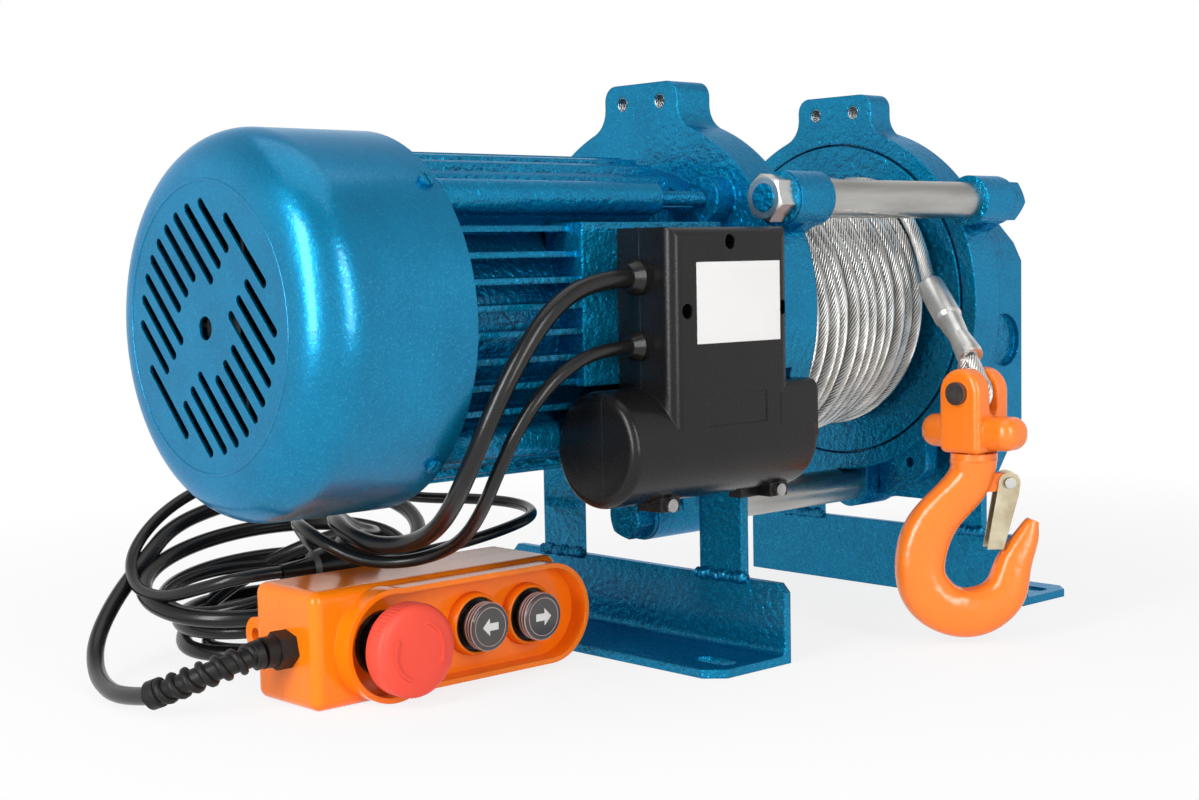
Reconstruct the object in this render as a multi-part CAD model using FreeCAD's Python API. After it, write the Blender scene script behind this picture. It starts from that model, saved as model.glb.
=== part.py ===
import FreeCAD
import Part
import math
import os
from FreeCAD import Vector

os.makedirs("parts", exist_ok=True)

# The frame: X to the front (rope side), Y along the drum from motor to gearbox, Z up from the floor.
# The origin is the middle of the four foot slots, on the floor.

# Drum axis
AXIS_X = 18.0
AXIS_Z = 205.0

# Plates and tie rods
PLATE_R = 114.0
MOTOR_PLATE_Y = (-127.5, -100.0)
GEAR_PLATE_Y = (52.0, 77.5)
GEAR_LUG_DEPTH = 20.0
LUG_HALF = 31.0
LUG_TOP_Z = 340.0
LUG_HOLE_Z = 328.5
LUG_HOLE_SPACING = 32.0
LUG_HOLE_R = 4.25
LUG_ROUND = 9.0
LUG_ROOT_R = 16.0
TIE_PITCH_R = 125.5
TIE_ROD_R = 8.0
EAR_R = 15.5
TOP_EAR_MOTOR_Y = (-123.5, -95.0)
TOP_EAR_GEAR_Y = (51.5, 79.0)
LOW_EAR_MOTOR_Y = (-132.0, -83.0)
LOW_EAR_GEAR_Y = (64.5, 96.0)
SPACER_R = 11.25
SPACER_BORE_R = 8.6
NUT_FLATS = 24.0
NUT_THICK = 13.0
WASHER_R = 15.0
WASHER_THICK = 2.5
ROD_PROUD = 0.3
TIE_ANGLES = [math.radians(a) for a in (30, 150, 270)]
TIES = [(TIE_PITCH_R * math.cos(a), TIE_PITCH_R * math.sin(a)) for a in TIE_ANGLES]
EAR_SPANS = [(TOP_EAR_MOTOR_Y, TOP_EAR_GEAR_Y), (TOP_EAR_MOTOR_Y, TOP_EAR_GEAR_Y),
             (LOW_EAR_MOTOR_Y, LOW_EAR_GEAR_Y)]
SMALL_EAR = (59.0, -106.0)
SMALL_EAR_R = 13.0
SMALL_EAR_Y = (55.0, 67.0)
SMALL_EAR_HOLE_R = 3.3

# Drum and rope
DRUM_R = 55.0
DRUM_WALL = 6.0
FLANGE_R = 102.0
FLANGE_THICK = 6.0
FLANGE_GAP = 1.5
LEFT_FLANGE_Y = -98.0
RIGHT_FLANGE_Y = 51.0
HUB_R = 24.0
HUB_BORE_R = 15.0
ROPE_D = 7.0
WINDING_R = 82.0
TURN_PITCH = 10.9
TURNS = 13
LAST_TURN_Y = 45.5
RUNNING_FIT = 0.05

# Gear train
STAGE_CENTRES = 60.0
LAYSHAFT_ANGLE = math.radians(206.8)
PROFILE_SHIFT = 0.4
PRESSURE_ANGLE = math.radians(20.0)
BACKLASH = 0.24
INPUT_TEETH, INTERMEDIATE_TEETH, FIRST_MODULE = 12, 68, 1.5
PINION_TEETH, DRUM_TEETH, SECOND_MODULE = 11, 49, 2.0
DRUM_GEAR_Y = (82.0, 97.0)
LAY_PINION_Y = (81.0, 98.0)
INTERMEDIATE_Y = (100.0, 112.0)
INPUT_PINION_Y = (99.0, 113.0)
GEARBOX_Y = (77.5, 118.5)
GEARBOX_COVER_Y = (118.5, 128.0)
LAY_U = STAGE_CENTRES * math.cos(LAYSHAFT_ANGLE)
LAY_V = STAGE_CENTRES * math.sin(LAYSHAFT_ANGLE)
GEARBOX_OUTLINE = [(102, 125), (102, 229), (96, 241), (84, 254), (60, 284), (-60, 284), (-84, 254),
                   (-104, 244), (-117, 226), (-117, 124), (-106, 104), (-90, 82), (-80, 74), (-70, 72),
                   (62, 72), (72, 74), (80, 81)]
DRUM_BEARING_R = 36.0
DRUM_BEARING_LEFT_Y = (-119.0, -105.0)
DRUM_BEARING_RIGHT_Y = (62.0, 76.0)
SHAFT_BEARING_R = 20.0
DRIVE_BEARING_Y = (-145.0, -133.0)
FAN_BEARING_Y = (-352.0, -340.0)
LAY_BEARING_R = 16.0
LAY_SHAFT_R = 8.0
LAY_BEARING_LEFT_Y = (66.0, 77.5)
COVER_BEARING_Y = (115.0, 124.0)
COVER_BEARING_R = 15.0
END_JOURNAL_R = 7.0

# Motor
MOTOR_R = 90.0
MOTOR_CORE_R = 70.0
MOTOR_BORE_R = 62.0
HOUSING_Y = (-340.0, -146.0)
FIN_Y = (-340.0, -153.0)
FIN_PITCH = 13.4
FIN_THICK = 3.2
BOLT_CIRCLE_R = 90.0
CORNERS = [(su * BOLT_CIRCLE_R / math.sqrt(2), sv * BOLT_CIRCLE_R / math.sqrt(2))
           for su in (1, -1) for sv in (1, -1)]
STUD_BOSS_Y = (-336.0, -181.0)
STUD_BOSS_R = 9.0
STUD_R = 4.0
STUD_FOOT_Y = -215.0
UPRIGHT_FIN_LIMIT = 50.0
BOX_SEAT_Y = (-258.0, -153.0)
BOX_SEAT_V = (-36.0, 50.0)
STATOR_Y = (-300.0, -200.0)
ARM_ANGLES = (45, 135, 225, 315)
ARM_R = 98.0
COVER_SCREW_Y = -345.5
COVER_SCREW_FOOT_R = 88.0
SHAFT_R = 8.5
ROTOR_R = 38.0
STATOR_BORE_R = 38.5
COVER_R = 100.0
COVER_FACE_Y = -430.5
COVER_RIM_Y = -337.5
COVER_ROUND = 27.0
COVER_WALL = 1.5
SLOT_PITCH = 10.8
SLOT_WIDTH = 5.0

# Feet
FOOT_HALF = 121.0
FOOT_STEEL = 5.0
MOTOR_FOOT_Y = -118.5
GEAR_FOOT_Y = 118.5
FOOT_TALL = 46.5
FOOT_WIDE = 58.5
FOOT_CLIP = 10.0
POST_X = 71.0
POST_WIDE = 34.0
POST_THICK = 6.0
POST_TOP_MOTOR = (152.0, 168.0)
POST_TOP_GEAR = 111.5
PAD_FOOT_Z = 97.0
PAD_ROUND = 9.0
SLOT_X = 100.0
SLOT_Y = 155.0
FOOT_SLOT_R = 6.5
FOOT_SLOT_LENGTH = 28.0

# Control box
BOX_BACK = 89.0
BOX_SEAM = 106.0
BOX_FRONT = 130.0
BOX_Y = (-233.0, -141.5)
BOX_Z = (160.0, 251.5)
CAN_U = 100.0
CAN_Z = 136.0
CAN_R = 31.0
CAN_Y = (-262.0, -118.0)
CAN_BACK_END_Y = -143.5
BOX_WALL = 2.5
BOX_ROUND = 7.0
CAN_ROUND = 5.0
GROMMET_U = 105.0
SCREW_DEPTH = 16.0
FRONT_SCREWS = [(-189.0, 243.5), (-222.0, 207.5), (-148.0, 207.5)]
SEAM_SCREW_Y = (-222.0, -136.0)
PLATE_RECESS_Y = (-207.0, -161.0)
PLATE_RECESS_V = (-59.0, -42.0)
THICK_GROMMET_Z = 225.5
THIN_GROMMET_Z = 189.5

# Pendant
PENDANT_X = (-38.0, 20.0)
PENDANT_SEAM_X = -12.0
PENDANT_Y = (-373.5, -203.0)
PENDANT_Z = (0.0, 64.0)
PENDANT_WALL = 3.0
RIM_Z = 33.0
RIM_R = 29.0
RIM_Y = (-323.0, -219.0)
RIM_X = (16.0, 32.0)
ESTOP_Y = -330.0
ESTOP_Z = 31.5
ESTOP_R = 25.3
ESTOP_RIM_R = 31.0
FORWARD_Y = -268.0
REVERSE_Y = -229.0
BUTTON_Z = 33.0
GLAND_X = -4.0
GLAND_Z = 32.0
GLAND_FLATS = 18.0
GLAND_COLLAR_R = 8.4
GLAND_BORE_R = 5.6
TAB_REACH = 10.0
TAB_R = 10.0
TAB_Z = 32.0
TAB_HOLE_R = 4.0
BUTTON_R = 10.5
BEZEL_R = 12.5
STEM_R = 11.0
COLLAR_R = 14.3

# Hook
HOOK_U = 147.0
HOOK_Y = 3.5
PIN_Z = 152.0
HOOK_TURN = math.radians(47.3)
HEAD_BASE_Z = 116.0
HEAD_HALF = (14.5, 16.0)
HEAD_ROUND = 4.0
WING_HALF = (34.0, 12.0)
WING_Z = (118.0, 138.0)
WING_ROUND = 9.0
HEAD_SLOT_R = 4.6
HOOK_AXIS = Vector(AXIS_X + HOOK_U, HOOK_Y, 0)
HOOK_SIDE = Vector(math.cos(HOOK_TURN), math.sin(HOOK_TURN), 0)
HOOK_ACROSS = Vector(-math.sin(HOOK_TURN), math.cos(HOOK_TURN), 0)
HOOK_SQUARENESS = 2.6
LATCH_PIVOT = (20.0, 97.5)
LATCH_HEAD_R = 6.5
LATCH_PIN_R = 2.5
LATCH_WEB_TOP = 90.0
EYE_R = 9.4
FERRULE_START = (98.0, 26.0, 215.5)
FERRULE_END = (144.0, 5.0, 172.5)
FERRULE_STATIONS = [(0.0, 7.6), (0.03, 8.4), (0.46, 8.6), (0.5, 7.6), (0.72, 6.3), (0.95, 8.0), (1.0, 7.6)]

# Cords
THICK_D = 9.8
THIN_D = 7.2
RELIEF_D = 15.0
PLUG_R = 18.0
COIL_CENTRE = (-125.0, -300.0)
COIL_HALF = (78.0, 98.0)
COIL_EYE_HALF = (26.0, 46.0)
COIL_FOOT_Z = 0.3
COIL_FRONT_Z = 30.0
COIL_BACK_Z = 108.0
THICK_ROUTE = [
    (123.0, -242.0, 225.5), (123.0, -268.0, 224.0), (124.0, -294.0, 212.0), (123.0, -315.0, 189.0),
    (117.0, -329.0, 161.0), (105.0, -334.0, 134.0), (82.0, -328.0, 111.0), (57.0, -320.0, 95.0),
    (32.0, -318.0, 85.0), (9.0, -323.0, 82.0), (-13.0, -326.0, 86.0), (-35.0, -320.0, 91.0),
    (-56.0, -306.0, 91.0), (-76.0, -286.0, 83.0), (-94.0, -264.0, 70.0), (-108.0, -246.0, 54.0)]
THIN_ROUTE = [
    (123.0, -242.0, 189.5), (124.0, -262.0, 188.5), (125.0, -284.0, 182.0), (123.0, -303.0, 168.0),
    (117.0, -314.0, 150.0), (106.0, -317.0, 130.0), (89.0, -313.0, 110.0), (65.0, -305.0, 92.0),
    (42.0, -303.0, 80.0), (20.0, -314.0, 73.0), (2.0, -330.0, 74.0), (-16.0, -342.0, 84.0),
    (-38.0, -342.0, 91.0), (-60.0, -330.0, 90.0), (-78.0, -315.0, 81.0), (-91.0, -300.0, 67.0),
    (-98.0, -286.0, 50.0)]
RELIEF_ROUTE = [(-4.0, -391.0, 32.0), (-5.5, -405.0, 29.5), (-13.0, -418.0, 24.5), (-25.0, -428.0, 18.0),
                (-42.0, -436.0, 11.0)]
TAIL_ROUTE = [(-42.0, -436.0, 11.0), (-66.0, -442.0, 6.0), (-93.0, -438.0, 5.0), (-118.0, -426.0, 9.0),
              (-136.0, -412.0, 22.0), (-144.0, -397.0, 38.0), (-146.0, -381.0, 48.0)]
PLUG_LEAD_ROUTE = [(-120.0, -384.0, 40.0), (-100.0, -386.0, 55.0), (-80.0, -378.0, 63.0),
                   (-66.0, -361.0, 64.0), (-62.0, -340.0, 62.0)]
SIDE_LOOP_ROUTE = [(-88.0, -230.0, 44.0), (-72.0, -206.0, 58.0), (-60.0, -176.0, 68.0),
                   (-68.0, -143.0, 73.0), (-100.0, -128.0, 76.0), (-132.0, -142.0, 78.0),
                   (-146.0, -173.0, 77.0), (-148.0, -202.0, 70.0), (-144.0, -226.0, 56.0)]


def axis_point(u, y, v):
    """A point given from the drum axis: u forward, v up."""
    return Vector(AXIS_X + u, y, AXIS_Z + v)


def save(name, *solids):
    shape = solids[0] if len(solids) == 1 else Part.makeCompound(list(solids))
    shape.exportStep("parts/" + name + ".step")


def join(*solids):
    return solids[0].multiFuse(list(solids[1:])).removeSplitter()


def rod(u, v, y_span, radius):
    """A round bar along the drum axis."""
    return Part.makeCylinder(radius, y_span[1] - y_span[0], axis_point(u, y_span[0], v), Vector(0, 1, 0))


def ring(u, v, y_span, outer, inner):
    return rod(u, v, y_span, outer).cut(rod(u, v, (y_span[0] - 1, y_span[1] + 1), inner))


def block(x_span, y_span, z_span):
    size = [span[1] - span[0] for span in (x_span, y_span, z_span)]
    return Part.makeBox(*size, Vector(x_span[0], y_span[0], z_span[0]))


def x_rod(radius, u_span, y, z):
    """A round bar along X, with its ends given from the drum axis."""
    return Part.makeCylinder(radius, u_span[1] - u_span[0], Vector(AXIS_X + u_span[0], y, z), Vector(1, 0, 0))


def axis_block(u_span, y_span, v_span):
    return block([AXIS_X + u for u in u_span], y_span, [AXIS_Z + v for v in v_span])


def prism(points, direction):
    """A closed outline of 3-D points, extruded along a direction."""
    corners = [Vector(*p) for p in points]
    return Part.Face(Part.makePolygon(corners + corners[:1])).extrude(Vector(*direction))


def lathe(outline, u=0.0, v=0.0):
    """Turn an outline of (radius, y) corners round an axis parallel to the drum."""
    corners = [Vector(r, y, 0) for r, y in outline]
    face = Part.Face(Part.makePolygon(corners + corners[:1]))
    solid = face.revolve(Vector(0, 0, 0), Vector(0, 1, 0), 360)
    solid.translate(axis_point(u, 0, v))
    return solid


def hexagon(centre, flats, height, direction, turn=0.0):
    """A hexagonal prism with its base face at a centre point."""
    z_axis = Vector(*direction).normalize()
    x_axis = Vector(0, 0, 1) if abs(z_axis.z) < 0.9 else Vector(1, 0, 0)
    y_axis = z_axis.cross(x_axis)
    radius = flats / math.sqrt(3)
    corners = []
    for k in range(6):
        angle = turn + k * math.pi / 3
        corners.append(centre + x_axis * (radius * math.cos(angle)) + y_axis * (radius * math.sin(angle)))
    return Part.Face(Part.makePolygon(corners + corners[:1])).extrude(z_axis * height)


def edges_along(solid, direction):
    """The straight edges of a solid that run along a direction."""
    wanted = Vector(*direction)
    chosen = []
    for edge in solid.Edges:
        run = edge.lastVertex().Point - edge.firstVertex().Point
        if edge.Curve.TypeId == "Part::GeomLine" and run.cross(wanted).Length < 1e-6:
            chosen.append(edge)
    return chosen


def tube(route, diameter, label):
    """A round tube along straight runs joined by tangent arcs as large as the runs allow."""
    points = [Vector(*p) for p in route]
    edges = []
    radii = []
    start = points[0]
    for before, corner, after in zip(points, points[1:], points[2:]):
        run_in = corner - before
        run_out = after - corner
        reach = 0.45 * min(run_in.Length, run_out.Length)
        d_in = Vector(run_in).normalize()
        d_out = Vector(run_out).normalize()
        half_turn = d_in.getAngle(d_out) / 2
        radius = reach / math.tan(half_turn)
        radii.append(radius)
        inward = (d_out - d_in).normalize()
        middle = corner + inward * (radius / math.cos(half_turn) - radius)
        arc_start = corner - d_in * reach
        arc_end = corner + d_out * reach
        edges.append(Part.LineSegment(start, arc_start).toShape())
        edges.append(Part.Arc(arc_start, middle, arc_end).toShape())
        start = arc_end
    edges.append(Part.LineSegment(start, points[-1]).toShape())
    path = Part.Wire(edges)
    first = (points[1] - points[0]).normalize()
    section = Part.Wire([Part.Circle(points[0], first, diameter / 2).toShape()])
    solid = path.makePipeShell([section], True, False)
    expected = math.pi * diameter ** 2 / 4 * path.Length
    print(label, "length %.0f" % path.Length, "radii", [round(r) for r in radii],
          "volume share %.3f" % (solid.Volume / expected))
    return solid


def tie_ears(top_span, low_span, web_span):
    """Round ears for the three tie rods, each on a short web that grows out of the disc."""
    ears = []
    for (u, v), angle, span in zip(TIES, TIE_ANGLES, (top_span, top_span, low_span)):
        ears.append(rod(u, v, span, EAR_R))
        web = axis_block((88, TIE_PITCH_R), web_span, (-EAR_R, EAR_R))
        web.rotate(axis_point(0, 0, 0), Vector(0, 1, 0), -math.degrees(angle))
        ears.append(web)
    return ears


def tie_holes(faces):
    """Rod holes, and a flat seat for each washer and nut outside the face of its ear."""
    holes = [rod(u, v, (-140, 110), TIE_ROD_R + 0.2) for u, v in TIES]
    for (u, v), face in zip(TIES, faces):
        holes.append(rod(u, v, sorted((face, math.copysign(160, face))), WASHER_R + 1))
    return holes


def lug(y_span):
    """The square lug on top of a plate: rounded shoulders, and roots that run into the disc in a curve."""
    body = axis_block((-LUG_HALF, LUG_HALF), y_span, (85, LUG_TOP_Z - AXIS_Z))
    top_edges = [e for e in edges_along(body, (0, 1, 0)) if e.CenterOfMass.z > LUG_TOP_Z - 1]
    return join(body.makeFillet(LUG_ROUND, top_edges), lug_root(y_span, 1), lug_root(y_span, -1))


def lug_root(y_span, side):
    """The curved root between the lug's side and the disc's rim, on one side."""
    centre_u = LUG_HALF + LUG_ROOT_R
    centre_v = math.sqrt((PLATE_R + LUG_ROOT_R) ** 2 - centre_u ** 2)
    low = math.atan2(-centre_v, -centre_u)
    middle = (low - math.pi) / 2

    def place(u, v):
        return axis_point(side * u, y_span[0], v)

    def on_curve(angle):
        return place(centre_u + LUG_ROOT_R * math.cos(angle), centre_v + LUG_ROOT_R * math.sin(angle))

    curve = Part.Arc(on_curve(math.pi), on_curve(middle), on_curve(low)).toShape()
    inside = place(LUG_HALF - 5, centre_v - LUG_ROOT_R - 15)
    sides = [Part.LineSegment(on_curve(low), inside).toShape(),
             Part.LineSegment(inside, on_curve(math.pi)).toShape()]
    face = Part.Face(Part.Wire([curve] + sides))
    return face.extrude(Vector(0, y_span[1] - y_span[0], 0))


def lug_holes():
    v = LUG_HOLE_Z - AXIS_Z
    return [rod(s * LUG_HOLE_SPACING / 2, v, (-140, 90), LUG_HOLE_R) for s in (1, -1)]


def motor_plate(post_shanks):
    y0, y1 = MOTOR_PLATE_Y
    body = [rod(0, 0, MOTOR_PLATE_Y, PLATE_R), lug(MOTOR_PLATE_Y), rod(0, 0, (-146, y0), 84)]
    body += tie_ears(TOP_EAR_MOTOR_Y, LOW_EAR_MOTOR_Y, (-111.5, y1))
    body += [rod(u, v, (-142, y0), 13) for u, v in CORNERS]
    pad_face = MOTOR_FOOT_Y - 0.5 + POST_THICK
    for side, top in zip((1, -1), POST_TOP_MOTOR):
        centre = side * POST_X
        pad = block((centre - 20, centre + 20), (pad_face, y1), (PAD_FOOT_Z, top + 4))
        low_edges = [e for e in edges_along(pad, (0, 1, 0)) if e.CenterOfMass.z < PAD_FOOT_Z + 1]
        body.append(pad.makeFillet(PAD_ROUND, low_edges))
    plate = join(*body)
    cuts = tie_holes((TOP_EAR_MOTOR_Y[0], TOP_EAR_MOTOR_Y[0], LOW_EAR_MOTOR_Y[0])) + lug_holes()
    cuts.append(rod(0, 0, (y1 - 5, y1 + 1), FLANGE_R + FLANGE_GAP))
    cuts.append(rod(0, 0, (-150, y1), HUB_R + 2))
    cuts.append(rod(0, 0, DRUM_BEARING_LEFT_Y, DRUM_BEARING_R))
    for side, top in zip((1, -1), POST_TOP_MOTOR):
        centre = side * POST_X
        cuts.append(block((centre - 18, centre + 18), (y0 - 1, pad_face), (60, top + 1)))
    cuts.append(axis_block((103, 140), (y0 - 1, CAN_Y[1] + 1), (-120, -33)))
    cuts += [rod(u, v, (-143, y0), STUD_R) for u, v in CORNERS]
    plate = plate.cut(Part.makeCompound(cuts)).cut(post_shanks)
    carrier = ring(0, 0, (DRIVE_BEARING_Y[0] - 1, -128), HUB_R + 2, SHAFT_R + 2)
    return plate.fuse(carrier.cut(rod(0, 0, DRIVE_BEARING_Y, SHAFT_BEARING_R)))


def gear_plate():
    y0, y1 = GEAR_PLATE_Y
    body = [rod(0, 0, GEAR_PLATE_Y, PLATE_R), lug((y0, y0 + GEAR_LUG_DEPTH))]
    body += tie_ears(TOP_EAR_GEAR_Y, LOW_EAR_GEAR_Y, (64.5, y1))
    ear_u, ear_v = SMALL_EAR
    body.append(rod(ear_u, ear_v, SMALL_EAR_Y, SMALL_EAR_R))
    body.append(axis_block((ear_u - SMALL_EAR_R, ear_u + SMALL_EAR_R), SMALL_EAR_Y, (ear_v, ear_v + 25)))
    plate = join(*body)
    cuts = tie_holes((TOP_EAR_GEAR_Y[1], TOP_EAR_GEAR_Y[1], LOW_EAR_GEAR_Y[1])) + lug_holes()
    cuts.append(rod(0, 0, (y0 - 1, y0 + 6), FLANGE_R + FLANGE_GAP))
    cuts.append(rod(0, 0, (y0, y1 + 1), HUB_R + 2))
    cuts.append(rod(0, 0, DRUM_BEARING_RIGHT_Y, DRUM_BEARING_R))
    cuts.append(rod(LAY_U, LAY_V, (LAY_BEARING_LEFT_Y[0], y1 + 1), LAY_BEARING_R))
    cuts.append(rod(ear_u, ear_v, (SMALL_EAR_Y[0] - 5, SMALL_EAR_Y[1] + 3), SMALL_EAR_HOLE_R))
    return plate.cut(Part.makeCompound(cuts))


def tie_set():
    """Threaded rods, spacer tubes, washers and nuts of the three ties."""
    rods, spacers, washers, nuts = [], [], [], []
    for (u, v), (left, right) in zip(TIES, EAR_SPANS):
        spacers.append(ring(u, v, (left[1], right[0]), SPACER_R, SPACER_BORE_R))
        outer_left = left[0] - WASHER_THICK
        outer_right = right[1] + WASHER_THICK
        ends = (outer_left - NUT_THICK - ROD_PROUD, outer_right + NUT_THICK + ROD_PROUD)
        rods.append(rod(u, v, ends, TIE_ROD_R))
        washers.append(ring(u, v, (outer_left, left[0]), WASHER_R, TIE_ROD_R))
        washers.append(ring(u, v, (right[1], outer_right), WASHER_R, TIE_ROD_R))
        bore = rod(u, v, (-170, 130), TIE_ROD_R)
        nuts.append(hexagon(axis_point(u, outer_left, v), NUT_FLATS, NUT_THICK, (0, -1, 0), 0.3).cut(bore))
        nuts.append(hexagon(axis_point(u, outer_right, v), NUT_FLATS, NUT_THICK, (0, 1, 0), 0.1).cut(bore))
    save("tie_rods", *rods)
    save("spacer_tubes", *spacers)
    save("tie_washers", *washers)
    save("tie_nuts", *nuts)


def foot(face_y, outward, post_tops):
    """A slotted angle bar with two flat posts welded on its upright flange."""
    edge = face_y + outward * FOOT_WIDE
    y_low, y_high = face_y, face_y + FOOT_STEEL
    upright_outline = [(-FOOT_HALF, 0), (FOOT_HALF, 0), (FOOT_HALF, FOOT_TALL - FOOT_CLIP / 2),
                       (FOOT_HALF - FOOT_CLIP / 2, FOOT_TALL), (-FOOT_HALF + FOOT_CLIP / 2, FOOT_TALL),
                       (-FOOT_HALF, FOOT_TALL - FOOT_CLIP / 2)]
    upright = prism([(x, y_low, z) for x, z in upright_outline], (0, y_high - y_low, 0))
    root = y_high if outward < 0 else y_low
    flat_outline = [(-FOOT_HALF, root), (-FOOT_HALF, edge - outward * FOOT_CLIP),
                    (-FOOT_HALF + FOOT_CLIP, edge), (FOOT_HALF - FOOT_CLIP, edge),
                    (FOOT_HALF, edge - outward * FOOT_CLIP), (FOOT_HALF, root)]
    flat = prism([(x, y, 0) for x, y in flat_outline], (0, 0, FOOT_STEEL))
    bar = join(upright, flat)
    corner_y = y_low if outward < 0 else y_high
    corner = [e for e in edges_along(bar, (1, 0, 0))
              if abs(e.CenterOfMass.y - corner_y) < 0.1 and abs(e.CenterOfMass.z - FOOT_STEEL) < 0.1]
    bar = bar.makeFillet(4, corner)
    reach = FOOT_SLOT_LENGTH / 2 - FOOT_SLOT_R
    slot_y = math.copysign(SLOT_Y, face_y)
    for x in (-SLOT_X, SLOT_X):
        ends = [Part.makeCylinder(FOOT_SLOT_R, 20, Vector(x + s * reach, slot_y, -5)) for s in (1, -1)]
        middle = block((x - reach, x + reach), (slot_y - FOOT_SLOT_R, slot_y + FOOT_SLOT_R), (-5, 15))
        bar = bar.cut(join(middle, *ends))
    post_y = (y_low - 0.5, y_low - 0.5 + POST_THICK) if outward < 0 else (y_low, y_low + POST_THICK)
    pieces = [bar]
    for x, top in zip((POST_X, -POST_X), post_tops):
        pieces.append(block((x - POST_WIDE / 2, x + POST_WIDE / 2), post_y, (FOOT_TALL - 1, top)))
        bead_start = Vector(x - POST_WIDE / 2 - 2, y_low, FOOT_TALL)
        bead = Part.makeCylinder(3, POST_WIDE + 4, bead_start, Vector(1, 0, 0))
        pieces.append(bead.common(block((-300, 300), (y_low - 6, y_high + 6), (0, FOOT_TALL + 3))))
    return join(*pieces), post_y


def bolt(base, direction, shank_r, shank, flats, head):
    """A hex bolt: its shank runs back from the base point and its head forward."""
    along = Vector(*direction)
    body = Part.makeCylinder(shank_r, shank, base - along * shank, along)
    return body.fuse(hexagon(base, flats, head, direction))


def feet():
    motor_foot, motor_post_y = foot(MOTOR_FOOT_Y, -1, POST_TOP_MOTOR)
    gear_foot, gear_post_y = foot(GEAR_FOOT_Y, 1, (POST_TOP_GEAR, POST_TOP_GEAR))
    bolts = []
    for x, top in zip((POST_X, -POST_X), POST_TOP_MOTOR):
        for z in (top - 10, top - 28):
            bolts.append(bolt(Vector(x, motor_post_y[0], z), (0, -1, 0), 4, 14, 13, 5.5))
    for x in (POST_X, -POST_X):
        for dx in (-9, 9):
            bolts.append(bolt(Vector(x + dx, gear_post_y[1], 104.5), (0, 1, 0), 4, 18, 13, 5.5))
    shanks = Part.makeCompound(bolts)
    save("motor_foot", motor_foot.cut(shanks))
    save("gear_foot", gear_foot.cut(shanks))
    save("post_bolts", *bolts)
    return shanks


def motor_housing():
    """A finned tube with a flat seat for the control box and a long boss for the stud at each corner."""
    y0, y1 = HOUSING_Y
    half = FIN_THICK / 2
    fins = []
    for k in range(-5, 5):
        offset = (k + 0.5) * FIN_PITCH
        fins.append(axis_block((-MOTOR_R, MOTOR_R), FIN_Y, (offset - half, offset + half)))
        if abs(offset) < UPRIGHT_FIN_LIMIT:
            fins.append(axis_block((offset - half, offset + half), FIN_Y, (-MOTOR_R, MOTOR_R)))
    comb = fins[0].multiFuse(fins[1:]).common(rod(0, 0, FIN_Y, MOTOR_R))
    body = [rod(0, 0, HOUSING_Y, MOTOR_CORE_R), comb, axis_block((60, BOX_BACK), BOX_SEAT_Y, BOX_SEAT_V)]
    cuts = [rod(0, 0, (y0 - 1, y1 + 1), MOTOR_BORE_R), axis_block((BOX_BACK, 120), (CAN_Y[0], y1), (-70, 60))]
    for u, v in CORNERS:
        web = axis_block((62, BOLT_CIRCLE_R), STUD_BOSS_Y, (-6, 6))
        web.rotate(axis_point(0, 0, 0), Vector(0, 1, 0), -math.degrees(math.atan2(v, u)))
        body += [rod(u, v, STUD_BOSS_Y, STUD_BOSS_R), web]
        cuts.append(rod(u, v, (STUD_FOOT_Y, STUD_BOSS_Y[1]), STUD_R))
        cuts.append(rod(u, v, (STUD_BOSS_Y[1], y1), STUD_R + 1.5))
    return join(*body).cut(Part.makeCompound(cuts))


def winding_head(start, side):
    """The ring of copper at one end of the stator."""
    end = start + side * 18
    return lathe([(42, start), (60, start), (60, end), (55, end + side * 6), (46, end + side * 6), (42, end)])


def end_shield():
    """The plate behind the fan: it holds the rear bearing, with an arm for each screw of the cover."""
    body = [rod(0, 0, FAN_BEARING_Y, 84), rod(0, 0, (FAN_BEARING_Y[0] - 4, FAN_BEARING_Y[0]), 30)]
    for angle in ARM_ANGLES:
        arm = axis_block((70, ARM_R), FAN_BEARING_Y, (-9, 9))
        arm.rotate(axis_point(0, 0, 0), Vector(0, 1, 0), -angle)
        body.append(arm)
    bore = rod(0, 0, (FAN_BEARING_Y[0] - 8, FAN_BEARING_Y[1] + 1), SHAFT_R + 3)
    return join(*body).cut(bore).cut(rod(0, 0, FAN_BEARING_Y, SHAFT_BEARING_R))


def cover_screw(angle):
    """A slotted screw through the skirt of the fan cover into an arm of the end shield."""
    out = Vector(math.cos(angle), 0, math.sin(angle))
    reach = COVER_R - COVER_SCREW_FOOT_R
    start = axis_point(0, COVER_SCREW_Y, 0) + out * COVER_SCREW_FOOT_R
    head = Part.makeCylinder(4.2, 2.4, start + out * reach, out)
    slot = block((-10, 10), (-0.5, 0.5), (-10, 10))
    slot.translate(start + out * (reach + 11.3))
    return Part.makeCylinder(2, reach, start, out).fuse(head.cut(slot))


def motor():
    save("motor_housing", motor_housing())
    save("through_bolts", *[rod(u, v, (STUD_FOOT_Y, MOTOR_PLATE_Y[0]), STUD_R) for u, v in CORNERS])
    save("stator_core", ring(0, 0, STATOR_Y, MOTOR_BORE_R, STATOR_BORE_R))
    save("stator_windings", winding_head(STATOR_Y[0], -1), winding_head(STATOR_Y[1], 1))
    save("rotor_core", ring(0, 0, STATOR_Y, ROTOR_R, SHAFT_R))
    save("shaft_bearings", *[ring(0, 0, span, SHAFT_BEARING_R, SHAFT_R + RUNNING_FIT)
                             for span in (FAN_BEARING_Y, DRIVE_BEARING_Y)])
    screws = [cover_screw(math.radians(angle)) for angle in ARM_ANGLES]
    shanks = Part.makeCompound(screws)
    save("motor_end_shield", end_shield().cut(shanks))
    save("fan_cover_screws", *screws)
    save("fan_cover", fan_cover().cut(shanks))
    save("cooling_fan", cooling_fan())


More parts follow.
